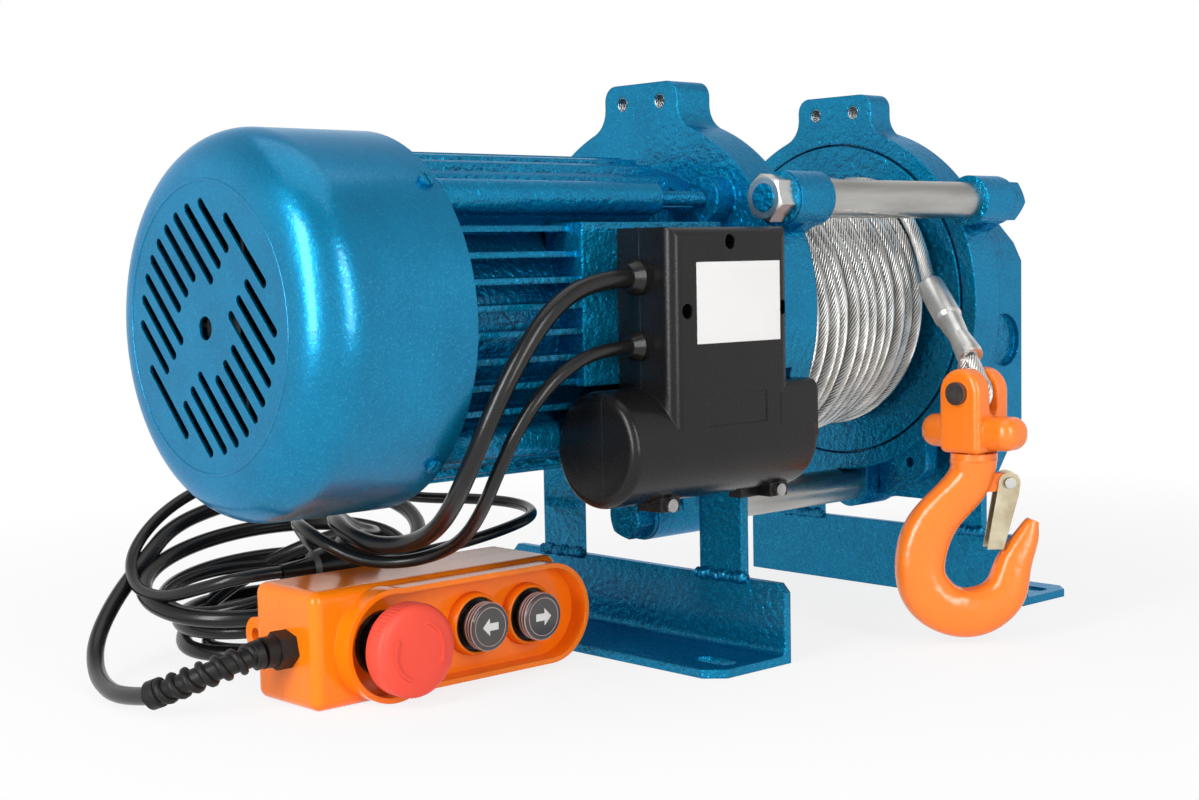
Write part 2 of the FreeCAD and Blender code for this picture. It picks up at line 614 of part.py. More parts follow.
def fan_cover():
    """A pressed steel cover: flat face, large round shoulder, straight skirt and diagonal air slots."""

    def cup(radius, face_y, shoulder):
        flat = radius - shoulder
        bend = shoulder * (1 - math.sqrt(0.5))
        start = Vector(0, face_y, 0)
        corner = Vector(flat, face_y, 0)
        middle = Vector(radius - bend, face_y + bend, 0)
        skirt = Vector(radius, face_y + shoulder, 0)
        rim = Vector(radius, COVER_RIM_Y, 0)
        centre = Vector(0, COVER_RIM_Y, 0)
        edges = [Part.LineSegment(start, corner).toShape(), Part.Arc(corner, middle, skirt).toShape()]
        edges += [Part.LineSegment(a, b).toShape() for a, b in ((skirt, rim), (rim, centre), (centre, start))]
        solid = Part.Face(Part.Wire(edges)).revolve(Vector(0, 0, 0), Vector(0, 1, 0), 360)
        solid.translate(axis_point(0, 0, 0))
        return solid

    wall = COVER_WALL
    inside = cup(COVER_R - wall, COVER_FACE_Y + wall, COVER_ROUND - wall)
    shell = cup(COVER_R, COVER_FACE_Y, COVER_ROUND).cut(inside)
    face_span = (COVER_FACE_Y - 1, COVER_FACE_Y + 3)
    cuts = [rod(0, 0, face_span, 6)]
    half = SLOT_WIDTH / 2
    for row in range(-5, 6):
        across = row * SLOT_PITCH
        reach = math.sqrt(66.0 ** 2 - across ** 2) - 3
        if abs(row) == 5:
            spans = [(-25.0, 25.0)]
        else:
            inner = 22.5 if abs(row) < 2 else 10.0
            spans = [(-reach, -inner), (inner, reach)]
        for low, high in spans:
            slot = axis_block((low + half, high - half), face_span, (across - half, across + half))
            ends = [rod(t, across, face_span, half) for t in (low + half, high - half)]
            whole = join(slot, *ends)
            whole.rotate(axis_point(0, 0, 0), Vector(0, 1, 0), 45)
            cuts.append(whole)
    return shell.cut(Part.makeCompound(cuts))


def cooling_fan():
    hub = ring(0, 0, (-420, -372), 16, SHAFT_R)
    disc = ring(0, 0, (-376, -372), 78, SHAFT_R)
    blades = []
    for k in range(8):
        blade = axis_block((14, 86), (-408, -372), (-1.2, 1.2))
        blade.rotate(axis_point(0, 0, 0), Vector(0, 1, 0), 45.0 * k)
        blades.append(blade)
    return join(hub, disc, *blades)


def gear(teeth, module, shift, u, v, y_span, tooth_angle, bore_r):
    """A spur gear with involute flanks; one tooth points along tooth_angle in the X-Z plane."""
    pitch_r = module * teeth / 2
    base_r = pitch_r * math.cos(PRESSURE_ANGLE)
    tip_r = pitch_r + module * (1 + shift)
    root_r = pitch_r - module * (1.25 - shift)
    half_pitch = (math.pi / 2 + 2 * shift * math.tan(PRESSURE_ANGLE)) / teeth - BACKLASH / 2 / pitch_r
    involute = lambda a: math.tan(a) - a
    flank = []
    start_r = max(base_r, root_r)
    for k in range(4):
        r = start_r + (tip_r - start_r) * k / 3
        pressure = math.acos(min(1.0, base_r / r))
        flank.append((r, half_pitch + involute(PRESSURE_ANGLE) - involute(pressure)))
    if root_r < base_r:
        flank.insert(0, (root_r, flank[0][1]))
    corners = []
    for tooth in range(teeth):
        centre = tooth_angle + tooth * 2 * math.pi / teeth
        polar = [(r, centre - a) for r, a in flank] + [(r, centre + a) for r, a in reversed(flank)]
        corners += [(u + r * math.cos(a), v + r * math.sin(a)) for r, a in polar]
    outline = [axis_point(a, y_span[0], b) for a, b in corners]
    solid = Part.Face(Part.makePolygon(outline + outline[:1])).extrude(Vector(0, y_span[1] - y_span[0], 0))
    if bore_r:
        solid = solid.cut(rod(u, v, (y_span[0] - 1, y_span[1] + 1), bore_r))
    return solid


def gear_train():
    toward_lay = LAYSHAFT_ANGLE
    toward_drum = LAYSHAFT_ANGLE + math.pi
    save("drum_gear", gear(DRUM_TEETH, SECOND_MODULE, -PROFILE_SHIFT, 0, 0, DRUM_GEAR_Y, toward_lay, HUB_R))
    pinion = gear(PINION_TEETH, SECOND_MODULE, PROFILE_SHIFT, LAY_U, LAY_V, LAY_PINION_Y,
                  toward_drum + math.pi / PINION_TEETH, 0)
    shaft = [rod(LAY_U, LAY_V, (67, LAY_PINION_Y[0]), LAY_SHAFT_R), pinion,
             rod(LAY_U, LAY_V, (LAY_PINION_Y[1], COVER_BEARING_Y[1] - 1), LAY_SHAFT_R)]
    save("layshaft", join(*shaft))
    wheel = gear(INTERMEDIATE_TEETH, FIRST_MODULE, -PROFILE_SHIFT, LAY_U, LAY_V, INTERMEDIATE_Y,
                 toward_drum + math.pi / INTERMEDIATE_TEETH, LAY_SHAFT_R)
    holes = []
    for k in range(5):
        angle = k * 2 * math.pi / 5
        holes.append(rod(LAY_U + 30 * math.cos(angle), LAY_V + 30 * math.sin(angle), (99, 113), 8))
    save("intermediate_gear", wheel.cut(Part.makeCompound(holes)))
    teeth = gear(INPUT_TEETH, FIRST_MODULE, PROFILE_SHIFT, 0, 0, INPUT_PINION_Y, toward_lay, 0)
    shaft = [rod(0, 0, (-420, INPUT_PINION_Y[0]), SHAFT_R), teeth,
             rod(0, 0, (INPUT_PINION_Y[1], COVER_BEARING_Y[1] - 1), END_JOURNAL_R)]
    save("motor_shaft", join(*shaft))


def gearbox(post_shanks):
    y0, y1 = GEARBOX_Y
    case = prism([(AXIS_X + u, y0, z) for u, z in GEARBOX_OUTLINE], (0, y1 - y0, 0))
    case = case.cut(rod(0, 0, (y0 + 2.5, y1 + 1), 54)).cut(rod(LAY_U, LAY_V, (y0 + 2.5, y1 + 1), 56))
    case = case.cut(rod(0, 0, (y0 - 1, y1), HUB_R + 2)).cut(rod(LAY_U, LAY_V, (y0 - 1, y1), 14.2))
    for u, v in TIES:
        case = case.cut(rod(u, v, (y0 - 1, 112), EAR_R + 1))
    recess = Part.makeCylinder(17, 6, Vector(AXIS_X + 98, 99, 178), Vector(1, 0, 0))
    case = case.cut(recess).cut(post_shanks)
    lid = join(rod(0, 0, GEARBOX_COVER_Y, 64), rod(LAY_U, LAY_V, GEARBOX_COVER_Y, 66),
               rod(0, 0, (115, 132), 21), rod(LAY_U, LAY_V, (115, 132), 21))
    for u, v in ((0, 0), (LAY_U, LAY_V)):
        lid = lid.cut(rod(u, v, (110, COVER_BEARING_Y[1]), COVER_BEARING_R))
    places = [(58.5 * math.cos(a), 58.5 * math.sin(a)) for a in (-0.9, 0.1, 1.1)]
    places += [(LAY_U + 60.5 * math.cos(a), LAY_V + 60.5 * math.sin(a)) for a in (1.9, 3.0, 4.1)]
    bolts = [bolt(axis_point(u, GEARBOX_COVER_Y[1], v), (0, 1, 0), 3, 20, 10, 4) for u, v in places]
    shanks = Part.makeCompound(bolts)
    save("gearbox_housing", case.cut(shanks))
    save("gearbox_cover", lid.cut(shanks))
    save("gearbox_bolts", *bolts)
    races = [ring(0, 0, span, DRUM_BEARING_R, HUB_R + RUNNING_FIT)
             for span in (DRUM_BEARING_LEFT_Y, DRUM_BEARING_RIGHT_Y)]
    races.append(ring(LAY_U, LAY_V, LAY_BEARING_LEFT_Y, LAY_BEARING_R, LAY_SHAFT_R + RUNNING_FIT))
    races.append(ring(LAY_U, LAY_V, COVER_BEARING_Y, COVER_BEARING_R, LAY_SHAFT_R + RUNNING_FIT))
    races.append(ring(0, 0, COVER_BEARING_Y, COVER_BEARING_R, END_JOURNAL_R + RUNNING_FIT))
    save("gear_bearings", *races)


def drum():
    left, right = LEFT_FLANGE_Y, RIGHT_FLANGE_Y
    save("drum_barrel", ring(0, 0, (left, right), DRUM_R, DRUM_R - DRUM_WALL))
    flanges = []
    for plate, hub in (((left - FLANGE_THICK, left), (-119, left)),
                       ((right, right + FLANGE_THICK), (right, DRUM_GEAR_Y[1]))):
        disc = rod(0, 0, plate, FLANGE_R).fuse(rod(0, 0, hub, HUB_R))
        flanges.append(disc.cut(rod(0, 0, (-130, 120), HUB_BORE_R)))
    save("drum_flanges", *flanges)
    save("rope_winding", rope_winding())
    clamp = axis_block((38, DRUM_R - DRUM_WALL - 2), (20, 46), (-9, 9))
    screws = [Part.makeCylinder(3, 9, axis_point(32, y, 0), Vector(1, 0, 0)) for y in (26, 40)]
    wedge = join(clamp, *screws).common(rod(0, 0, (0, 60), DRUM_R - DRUM_WALL))
    save("rope_clamp", wedge)


def rope_winding():
    """The wound rope as one turned solid with a round bead for each turn of its outer layer."""
    bead = ROPE_D / 2
    bed = WINDING_R - ROPE_D * 0.86
    rise = bed - (WINDING_R - bead)
    half = math.sqrt(bead ** 2 - rise ** 2)
    edges = []
    here = Vector(DRUM_R, RIGHT_FLANGE_Y, 0)
    there = Vector(bed, RIGHT_FLANGE_Y, 0)
    edges.append(Part.LineSegment(here, there).toShape())
    here = there
    for turn in range(TURNS):
        y = LAST_TURN_Y - turn * TURN_PITCH
        start = Vector(bed, y + half, 0)
        top = Vector(WINDING_R, y, 0)
        end = Vector(bed, y - half, 0)
        edges.append(Part.LineSegment(here, start).toShape())
        edges.append(Part.Arc(start, top, end).toShape())
        here = end
    for r, y in ((bed, LEFT_FLANGE_Y), (DRUM_R, LEFT_FLANGE_Y), (DRUM_R, RIGHT_FLANGE_Y)):
        there = Vector(r, y, 0)
        edges.append(Part.LineSegment(here, there).toShape())
        here = there
    solid = Part.Face(Part.Wire(edges)).revolve(Vector(0, 0, 0), Vector(0, 1, 0), 360)
    solid.translate(axis_point(0, 0, 0))
    return solid


def box_hull(inset, back_end):
    """The whole control box as a solid: an upright part and a lying can, notched for the motor's boss."""
    upper = axis_block((BOX_BACK + inset, BOX_FRONT - inset), (BOX_Y[0] + inset, BOX_Y[1] - inset),
                       (CAN_Z - AXIS_Z, BOX_Z[1] - inset - AXIS_Z))
    front_x = AXIS_X + BOX_FRONT - inset - 0.1
    edges = [e for e in upper.Edges if e.CenterOfMass.x > front_x and e.CenterOfMass.z > CAN_Z + 1]
    upper = upper.makeFillet(BOX_ROUND - inset, edges)
    can = rod(CAN_U, CAN_Z - AXIS_Z, (CAN_Y[0] + inset, back_end - inset), CAN_R - inset)
    rims = [e for e in can.Edges if e.Curve.TypeId == "Part::GeomCircle"]
    whole = upper.fuse(can.makeFillet(CAN_ROUND - inset, rims))
    boss_u, boss_v = CORNERS[1]
    return whole.cut(rod(boss_u, boss_v, (-300, -100), STUD_BOSS_R + 0.6 + inset))


def box_shells():
    """The back shell and the front cover, which meet at a flat seam."""
    tall = (-AXIS_Z, 100)
    behind = axis_block((0, BOX_SEAM), (-300, 0), tall)
    ahead = axis_block((BOX_SEAM, 200), (-300, 0), tall)
    back = box_hull(0, CAN_BACK_END_Y).cut(box_hull(BOX_WALL, CAN_BACK_END_Y)).common(behind)
    whole = box_hull(0, CAN_Y[1])
    cover = whole.cut(box_hull(BOX_WALL, CAN_Y[1])).common(ahead)
    seam_wall = axis_block((BOX_SEAM, BOX_SEAM + BOX_WALL), (CAN_BACK_END_Y, 0), tall)
    return back, cover.fuse(whole.common(seam_wall))


def grommet(radius, v):
    """A rubber sleeve seated in the left wall of the box, and the hole it needs."""
    wall = BOX_Y[0]
    outline = [(radius, wall - 9), (radius + 2, wall - 9), (radius + 4.5, wall - 3), (radius + 4.5, wall),
               (radius + 2.5, wall), (radius + 2.5, wall + BOX_WALL), (radius + 4, wall + BOX_WALL),
               (radius + 4, wall + 5), (radius, wall + 5)]
    return lathe(outline, GROMMET_U, v), rod(GROMMET_U, v, (wall - 2, wall + 5), radius + 2.5)


def control_box():
    back, cover = box_shells()
    grommets, screws, holes = [], [], []
    for z, diameter in ((THICK_GROMMET_Z, THICK_D), (THIN_GROMMET_Z, THIN_D)):
        sleeve, hole = grommet(diameter / 2, z - AXIS_Z)
        grommets.append(sleeve)
        holes.append(hole)
    seat = BOX_FRONT - SCREW_DEPTH
    for y, z in FRONT_SCREWS:
        screws.append(x_rod(2, (seat - 7, seat), y, z).fuse(x_rod(3.4, (seat, seat + 2.4), y, z)))
        tunnel = x_rod(6, (BOX_SEAM, BOX_FRONT), y, z)
        cover = cover.fuse(tunnel.common(box_hull(0.5, CAN_Y[1])))
        holes.append(x_rod(4, (seat, BOX_FRONT + 2), y, z))
    tab_v = (CAN_Z - CAN_R - 4 - AXIS_Z, CAN_Z - CAN_R + 5 - AXIS_Z)
    inside = rod(CAN_U, CAN_Z - AXIS_Z, (CAN_Y[0] - 8, CAN_Y[1] + 48), CAN_R - BOX_WALL)
    for y in SEAM_SCREW_Y:
        pad = axis_block((BOX_SEAM, BOX_SEAM + 9), (y - 7, y + 7), tab_v)
        tab = axis_block((BOX_SEAM - 9, BOX_SEAM), (min(y - 7, CAN_BACK_END_Y - 14), y + 7), tab_v)
        cover = cover.fuse(pad.cut(inside))
        back = back.fuse(tab.cut(inside))
        z = CAN_Z - CAN_R - 0.5
        head = x_rod(3.6, (BOX_SEAM + 9, BOX_SEAM + 11.4), y, z)
        screws.append(x_rod(1.8, (BOX_SEAM - 4, BOX_SEAM + 9), y, z).fuse(head))
    recess = axis_block((BOX_FRONT - 0.6, BOX_FRONT + 1), PLATE_RECESS_Y, PLATE_RECESS_V)
    save("control_box_back", back.cut(Part.makeCompound(holes + screws)))
    save("control_box_cover", cover.cut(Part.makeCompound(holes + screws + [recess])))
    save("control_box_screws", *screws)
    save("cable_grommets", *grommets)
    save("capacitor", capacitor())
    save("terminal_block", terminal_block())


def capacitor():
    can = lathe([(0, -250), (21, -250), (22, -249), (22, -152), (19, -150), (0, -150)], CAN_U, CAN_Z - AXIS_Z)
    posts = [rod(CAN_U + s * 7, CAN_Z - AXIS_Z, (-150, -147), 2) for s in (1, -1)]
    return join(can, *posts)


def terminal_block():
    """A block on the back wall with three wire slots."""
    wall = BOX_BACK + BOX_WALL
    body = axis_block((wall, wall + 14), (-206, -168), (-19, 21))
    slots = [axis_block((wall + 7.5, wall + 17.5), (y, y + 7), (-16, 18)) for y in (-203, -191, -179)]
    return body.cut(Part.makeCompound(slots))


def stadium(x_span, radius):
    """A prism with round ends in the plane of the pendant's front."""
    length = x_span[1] - x_span[0]
    middle = block(x_span, RIM_Y, (RIM_Z - radius, RIM_Z + radius))
    ends = [Part.makeCylinder(radius, length, Vector(x_span[0], y, RIM_Z), Vector(1, 0, 0)) for y in RIM_Y]
    return join(middle, *ends)


def front_disc(y, x_span, radius, z=BUTTON_Z):
    return Part.makeCylinder(radius, x_span[1] - x_span[0], Vector(x_span[0], y, z), Vector(1, 0, 0))


def pendant_case():
    """The hand-held box: front shell with a raised rim, back shell with a hanging tab, and their screws."""
    wall = PENDANT_WALL
    outer = block(PENDANT_X, PENDANT_Y, PENDANT_Z)
    outer = outer.makeFillet(6, outer.Edges)
    inner = block(*[(span[0] + wall, span[1] - wall) for span in (PENDANT_X, PENDANT_Y, PENDANT_Z)])
    case = outer.cut(inner)
    behind = block((-60, PENDANT_SEAM_X), (-400, -150), (-10, 90))
    ahead = block((PENDANT_SEAM_X, 90), (-400, -150), (-10, 90))
    rim = stadium(RIM_X, RIM_R).fuse(front_disc(ESTOP_Y, RIM_X, ESTOP_RIM_R, ESTOP_Z))
    well = (PENDANT_X[1], RIM_X[1] + 1)
    hollow = stadium(well, RIM_R - wall).fuse(front_disc(ESTOP_Y, well, ESTOP_RIM_R - wall, ESTOP_Z))
    front = case.common(ahead).fuse(rim.cut(hollow).cut(inner))
    back = case.common(behind).fuse(hanging_tab())
    holes = [front_disc(ESTOP_Y, (10, 40), COLLAR_R, ESTOP_Z)]
    holes += [front_disc(y, (10, 40), BEZEL_R) for y in (FORWARD_Y, REVERSE_Y)]
    holes.append(gland_rod(GLAND_COLLAR_R, -5, 15))
    screws = []
    for y in (PENDANT_Y[0] + 9, PENDANT_Y[1] - 9):
        for z in (9, 55):
            shank = Part.makeCylinder(1.8, 20, Vector(PENDANT_X[0] + 2, y, z), Vector(1, 0, 0))
            head = Part.makeCylinder(3.2, 2, Vector(PENDANT_X[0], y, z), Vector(1, 0, 0))
            screws.append(shank.fuse(head))
            post = Part.makeCylinder(4.5, 24, Vector(PENDANT_X[0] + 1, y, z), Vector(1, 0, 0)).common(outer)
            back = back.fuse(post.common(behind))
    opened = Part.makeCompound(holes + screws)
    save("pendant_front", front.cut(opened))
    save("pendant_back", back.cut(opened))
    save("pendant_screws", *screws)


def hanging_tab():
    """A flat eye behind the left end of the pendant."""
    tab_y = PENDANT_Y[0] + 7
    eye_x = PENDANT_X[0] - TAB_REACH
    tab = Part.makeCylinder(TAB_R, 5, Vector(eye_x, tab_y, TAB_Z), Vector(0, 1, 0))
    tab = tab.fuse(block((eye_x, PENDANT_X[0] + 1), (tab_y, tab_y + 5), (TAB_Z - TAB_R, TAB_Z + TAB_R)))
    return tab.cut(Part.makeCylinder(TAB_HOLE_R, 9, Vector(eye_x, tab_y - 2, TAB_Z), Vector(0, 1, 0)))


def gland_rod(radius, start, end):
    """A round bar on the gland's axis, its ends given from the pendant's left wall."""
    foot_point = Vector(GLAND_X, PENDANT_Y[0] + start, GLAND_Z)
    return Part.makeCylinder(radius, end - start, foot_point, Vector(0, 1, 0))


def gland():
    nut = hexagon(Vector(GLAND_X, PENDANT_Y[0], GLAND_Z), GLAND_FLATS, 10, (0, -1, 0), 0.25)
    whole = join(nut, gland_rod(GLAND_COLLAR_R, -17, -10), gland_rod(GLAND_COLLAR_R, 0, 10))
    save("gland_nut", whole.cut(gland_rod(GLAND_BORE_R, -30, 30)))
    save("pendant_strain_relief", tube(RELIEF_ROUTE, RELIEF_D, "strain relief"))


def buttons():
    """Bezels and contact blocks, the stop button in two pieces, and the two arrow buttons."""
    bezels = []
    for y in (FORWARD_Y, REVERSE_Y):
        sleeve = front_disc(y, (12, 31), BEZEL_R).fuse(front_disc(y, (20, 24), 15))
        bezels.append(sleeve.cut(front_disc(y, (5, 40), BUTTON_R + 0.1)))
    collar = front_disc(ESTOP_Y, (12, 29), COLLAR_R, ESTOP_Z).fuse(front_disc(ESTOP_Y, (20, 23), 18, ESTOP_Z))
    bezels.append(collar.cut(front_disc(ESTOP_Y, (5, 40), STEM_R + 0.1, ESTOP_Z)))
    save("button_bezels", *bezels)
    save("contact_blocks", *[block((PENDANT_X[0] + 8, 5), (y - 12, y + 12), (BUTTON_Z - 14, BUTTON_Z + 14))
                             for y in (ESTOP_Y, FORWARD_Y, REVERSE_Y)])
    stem = front_disc(ESTOP_Y, (12, 36), STEM_R, ESTOP_Z)
    save("estop_stem", stem.cut(front_disc(ESTOP_Y, (34, 37), 7, ESTOP_Z)))
    head = Part.Face(Part.Wire(mushroom_outline())).revolve(Vector(0, 0, 0), Vector(1, 0, 0), 360)
    head.translate(Vector(0, ESTOP_Y, ESTOP_Z))
    save("estop_head", head)
    for name, y in (("forward_button", FORWARD_Y), ("reverse_button", REVERSE_Y)):
        cap = front_disc(y, (10, 36), BUTTON_R)
        rim_edges = [e for e in cap.Edges if e.CenterOfMass.x > 35 and e.Curve.TypeId == "Part::GeomCircle"]
        save(name, cap.makeFillet(1.2, rim_edges))


def mushroom_outline():
    """Half section of the stop button's head: a spigot, an undercut skirt and a shallow dome."""
    corners = [(34.3, 0), (34.3, 6.9), (36.3, 6.9), (36.3, ESTOP_R - 3), (40, ESTOP_R)]
    points = [Vector(x, r, 0) for x, r in corners]
    edges = [Part.LineSegment(a, b).toShape() for a, b in zip(points, points[1:])]
    rim = Vector(50, ESTOP_R, 0)
    crown_edge = Vector(53, ESTOP_R - 6, 0)
    edges.append(Part.LineSegment(points[-1], rim).toShape())
    edges.append(Part.Arc(rim, Vector(52.2, ESTOP_R - 2.5, 0), crown_edge).toShape())
    crown = [crown_edge, Vector(53.6, 5, 0), Vector(53.6, 0, 0), points[0]]
    edges += [Part.LineSegment(a, b).toShape() for a, b in zip(crown, crown[1:])]
    return edges


def hook_point(h, z, n=0.0):
    """A point of the hook: h along its throat, z up, n across its thickness."""
    return HOOK_AXIS + HOOK_SIDE * h + HOOK_ACROSS * n + Vector(0, 0, z)


def squared_circle():
    """A closed smooth curve of half size one, a circle with flattened sides."""
    power = 2 / HOOK_SQUARENESS
    points = []
    for k in range(16):
        angle = k * math.pi / 8
        across, along = math.cos(angle), math.sin(angle)
        points.append(Vector(math.copysign(abs(across) ** power, across),
                             math.copysign(abs(along) ** power, along), 0))
    curve = Part.BSplineCurve()
    curve.interpolate(points, PeriodicFlag=True)
    return curve.toShape()


def hook():
    """A forged hook: squared oval sections lofted along a bent centre line, on a turned shank."""
    bowl = (-5.0, 46.5)
    mid_r = 28.0
    line = [(0.0, 112.0), (-2.0, 102.0), (-10.0, 90.0), (-23.0, 76.0)]
    half_wide = [13.5, 13.0, 13.0, 14.0]
    half_thick = [13.4, 12.0, 11.0, 11.0]
    for degrees, wide, thick in ((170, 15.0, 11.5), (205, 15.4, 12.0), (240, 15.2, 12.2), (270, 14.8, 12.2),
                                 (300, 14.0, 11.8), (330, 12.6, 11.0), (358, 11.0, 10.0)):
        a = math.radians(degrees)
        line.append((bowl[0] + mid_r * math.cos(a), bowl[1] + mid_r * math.sin(a)))
        half_wide.append(wide)
        half_thick.append(thick)
    line += [(28.5, 58.0), (33.5, 69.0), (35.5, 74.0)]
    half_wide += [8.6, 5.6, 3.4]
    half_thick += [8.4, 6.6, 5.2]
    bent = Part.makeLoft(hook_sections(line, half_wide, half_thick), True, False)
    up = Vector(0, 0, 1)
    collar = Part.makeCylinder(14, HEAD_BASE_Z - 0.4 - 111, hook_point(0, 111), up)
    stem = Part.makeCylinder(8, 22, hook_point(0, 111), up)
    button = Part.makeCylinder(11.7, 5.4, hook_point(0, 127.6), up)
    boss = Part.makeCylinder(5.5, 8, hook_point(*LATCH_PIVOT, -4), HOOK_ACROSS)
    neck = prism([hook_point(h, z, -4) for h, z in ((4, 92), (20, 92), (20, 103), (4, 103))], HOOK_ACROSS * 8)
    body = join(bent, collar, stem, button, boss, neck)
    pin = Part.makeCylinder(LATCH_PIN_R, 16, hook_point(*LATCH_PIVOT, -8), HOOK_ACROSS)
    heads = [Part.makeCylinder(3.3, 1.6, hook_point(*LATCH_PIVOT, n), HOOK_ACROSS) for n in (-9.6, 8)]
    save("hook", body.cut(pin))
    save("latch_pin", join(pin, *heads))


def hook_sections(line, half_wide, half_thick):
    """The closed sections of the hook, each square to the centre line."""
    sections = []
    for k, (h, z) in enumerate(line):
        before = line[max(k - 1, 0)]
        after = line[min(k + 1, len(line) - 1)]
        run = HOOK_SIDE * (after[0] - before[0]) + Vector(0, 0, after[1] - before[1])
        if k == 0:
            run = Vector(0, 0, -1)
        run.normalize()
        wide = run.cross(HOOK_ACROSS) * half_wide[k]
        thick = HOOK_ACROSS * half_thick[k]
        place = hook_point(h, z)
        stretch = FreeCAD.Matrix(wide.x, thick.x, run.x, place.x, wide.y, thick.y, run.y, place.y,
                                 wide.z, thick.z, run.z, place.z, 0, 0, 0, 1)
        sections.append(Part.Wire([squared_circle().transformGeometry(stretch)]))
    return sections


def latch():
    """A folded sheet latch: two cheeks with round heads on the pin, and a web that closes the throat."""
    cheek = [(13.6, 97.5), (26.4, 97.5), (25.4, 90), (16.4, 57.5), (6.5, 57.5), (10.5, 80)]
    outside = prism([hook_point(h, z, -6.6) for h, z in cheek], HOOK_ACROSS * 13.2)
    outside = outside.fuse(Part.makeCylinder(LATCH_HEAD_R, 13.2, hook_point(*LATCH_PIVOT, -6.6), HOOK_ACROSS))
    hollow_outline = [(-2, 110), (40, 110), (40, LATCH_WEB_TOP), (23.7, LATCH_WEB_TOP), (14.6, 57.0),
                      (14.0, 50), (-2, 50)]
    hollow = prism([hook_point(h, z, -5.3) for h, z in hollow_outline], HOOK_ACROSS * 10.6)
    pivot = Part.makeCylinder(LATCH_PIN_R + RUNNING_FIT, 30, hook_point(*LATCH_PIVOT, -15), HOOK_ACROSS)
    save("hook_latch", outside.cut(hollow).cut(pivot))
    coils = [Part.makeTorus(3.4, 0.5, hook_point(*LATCH_PIVOT, n), HOOK_ACROSS) for n in (-4.65, 4.65)]
    save("latch_spring", *coils)


def swivel_head():
    """A forged clevis with two side wings; the hook's stem turns in its base."""
    head_x = (HOOK_AXIS.x - HEAD_HALF[0], HOOK_AXIS.x + HEAD_HALF[0])
    head_y = (HOOK_Y - HEAD_HALF[1], HOOK_Y + HEAD_HALF[1])
    crown_start = Vector(HOOK_AXIS.x, head_y[0], PIN_Z)
    crown = Part.makeCylinder(HEAD_HALF[0], 2 * HEAD_HALF[1], crown_start, Vector(0, 1, 0))
    head_block = join(block(head_x, head_y, (HEAD_BASE_Z, PIN_Z)), crown)
    head_block = head_block.makeFillet(HEAD_ROUND, head_block.Edges)
    wing = block((HOOK_AXIS.x - WING_HALF[0], HOOK_AXIS.x + WING_HALF[0]),
                 (HOOK_Y - WING_HALF[1], HOOK_Y + WING_HALF[1]), WING_Z)
    wing = wing.makeFillet(WING_ROUND, wing.Edges)
    head = join(head_block, wing)
    slot_floor = Vector(HOOK_AXIS.x - 40, HOOK_Y, PIN_Z - EYE_R + 0.5)
    slot = block((HOOK_AXIS.x - 40, HOOK_AXIS.x + 40), (HOOK_Y - HEAD_SLOT_R, HOOK_Y + HEAD_SLOT_R),
                 (slot_floor.z, PIN_Z + 40))
    slot = slot.fuse(Part.makeCylinder(HEAD_SLOT_R, 80, slot_floor, Vector(1, 0, 0)))
    axle = Part.makeCylinder(5, 38, Vector(HOOK_AXIS.x, HOOK_Y - 18, PIN_Z), Vector(0, 1, 0))
    up = Vector(0, 0, 1)
    cavity = [Part.makeCylinder(8 + RUNNING_FIT, 13, hook_point(0, HEAD_BASE_Z - 1), up),
              Part.makeCylinder(12.1, 6.2, hook_point(0, 127.2), up)]
    save("swivel_head", head.cut(slot).cut(axle).cut(Part.makeCompound(cavity)))
    ends = [Part.makeCylinder(6.8, 3, Vector(HOOK_AXIS.x, y, PIN_Z), Vector(0, 1, 0))
            for y in (HOOK_Y - 19, HOOK_Y + 16)]
    save("clevis_pin", join(axle, *ends))


def rope_end():
    """The free end of the rope: off the drum, into a crimped sleeve, round the clevis pin."""
    lift_r = WINDING_R + ROPE_D / 2 + 0.5
    off = math.radians(33)
    over = [math.radians(a) for a in (58, 46, 33)]
    arc_points = [axis_point(lift_r * math.cos(a), LAST_TURN_Y - 3.0, lift_r * math.sin(a)) for a in over]
    arc = Part.Arc(*arc_points).toShape()
    leave = arc_points[-1]
    sleeve_start = Vector(AXIS_X + FERRULE_START[0], FERRULE_START[1], FERRULE_START[2])
    sleeve_end = Vector(AXIS_X + FERRULE_END[0], FERRULE_END[1], FERRULE_END[2])
    tangent = Vector(math.sin(off), 0, -math.cos(off))
    sleeve_dir = (sleeve_end - sleeve_start).normalize()
    bend = Part.BSplineCurve()
    bend.interpolate([leave, sleeve_start], InitialTangent=tangent * 50, FinalTangent=sleeve_dir * 50)
    start_dir = Vector(math.sin(over[0]), 0, -math.cos(over[0]))
    section = Part.Wire([Part.Circle(arc_points[0], start_dir, ROPE_D / 2).toShape()])
    lead = Part.Wire([arc, bend.toShape()]).makePipeShell([section], True, False)
    eye_centre = Vector(HOOK_AXIS.x, HOOK_Y, PIN_Z)
    eye = Part.makeTorus(EYE_R, ROPE_D / 2 - 0.3, eye_centre, Vector(0, 1, 0))
    leg_start = eye_centre + Vector(-2.0, 0, EYE_R - 0.5)
    leg_run = sleeve_end - leg_start
    legs = Part.makeCylinder(ROPE_D / 2 - 0.3, leg_run.Length, leg_start, leg_run)
    save("rope_tail", lead, join(eye, legs))
    length = (sleeve_end - sleeve_start).Length
    outline = [(0, 0)] + [(r, s * length) for s, r in FERRULE_STATIONS] + [(0, length)]
    corners = [Vector(r, 0, z) for r, z in outline]
    sleeve = Part.Face(Part.makePolygon(corners + corners[:1])).revolve(Vector(0, 0, 0), Vector(0, 0, 1), 360)
    sleeve.Placement = FreeCAD.Placement(sleeve_start, FreeCAD.Rotation(Vector(0, 0, 1), sleeve_dir))
    save("rope_ferrule", sleeve)


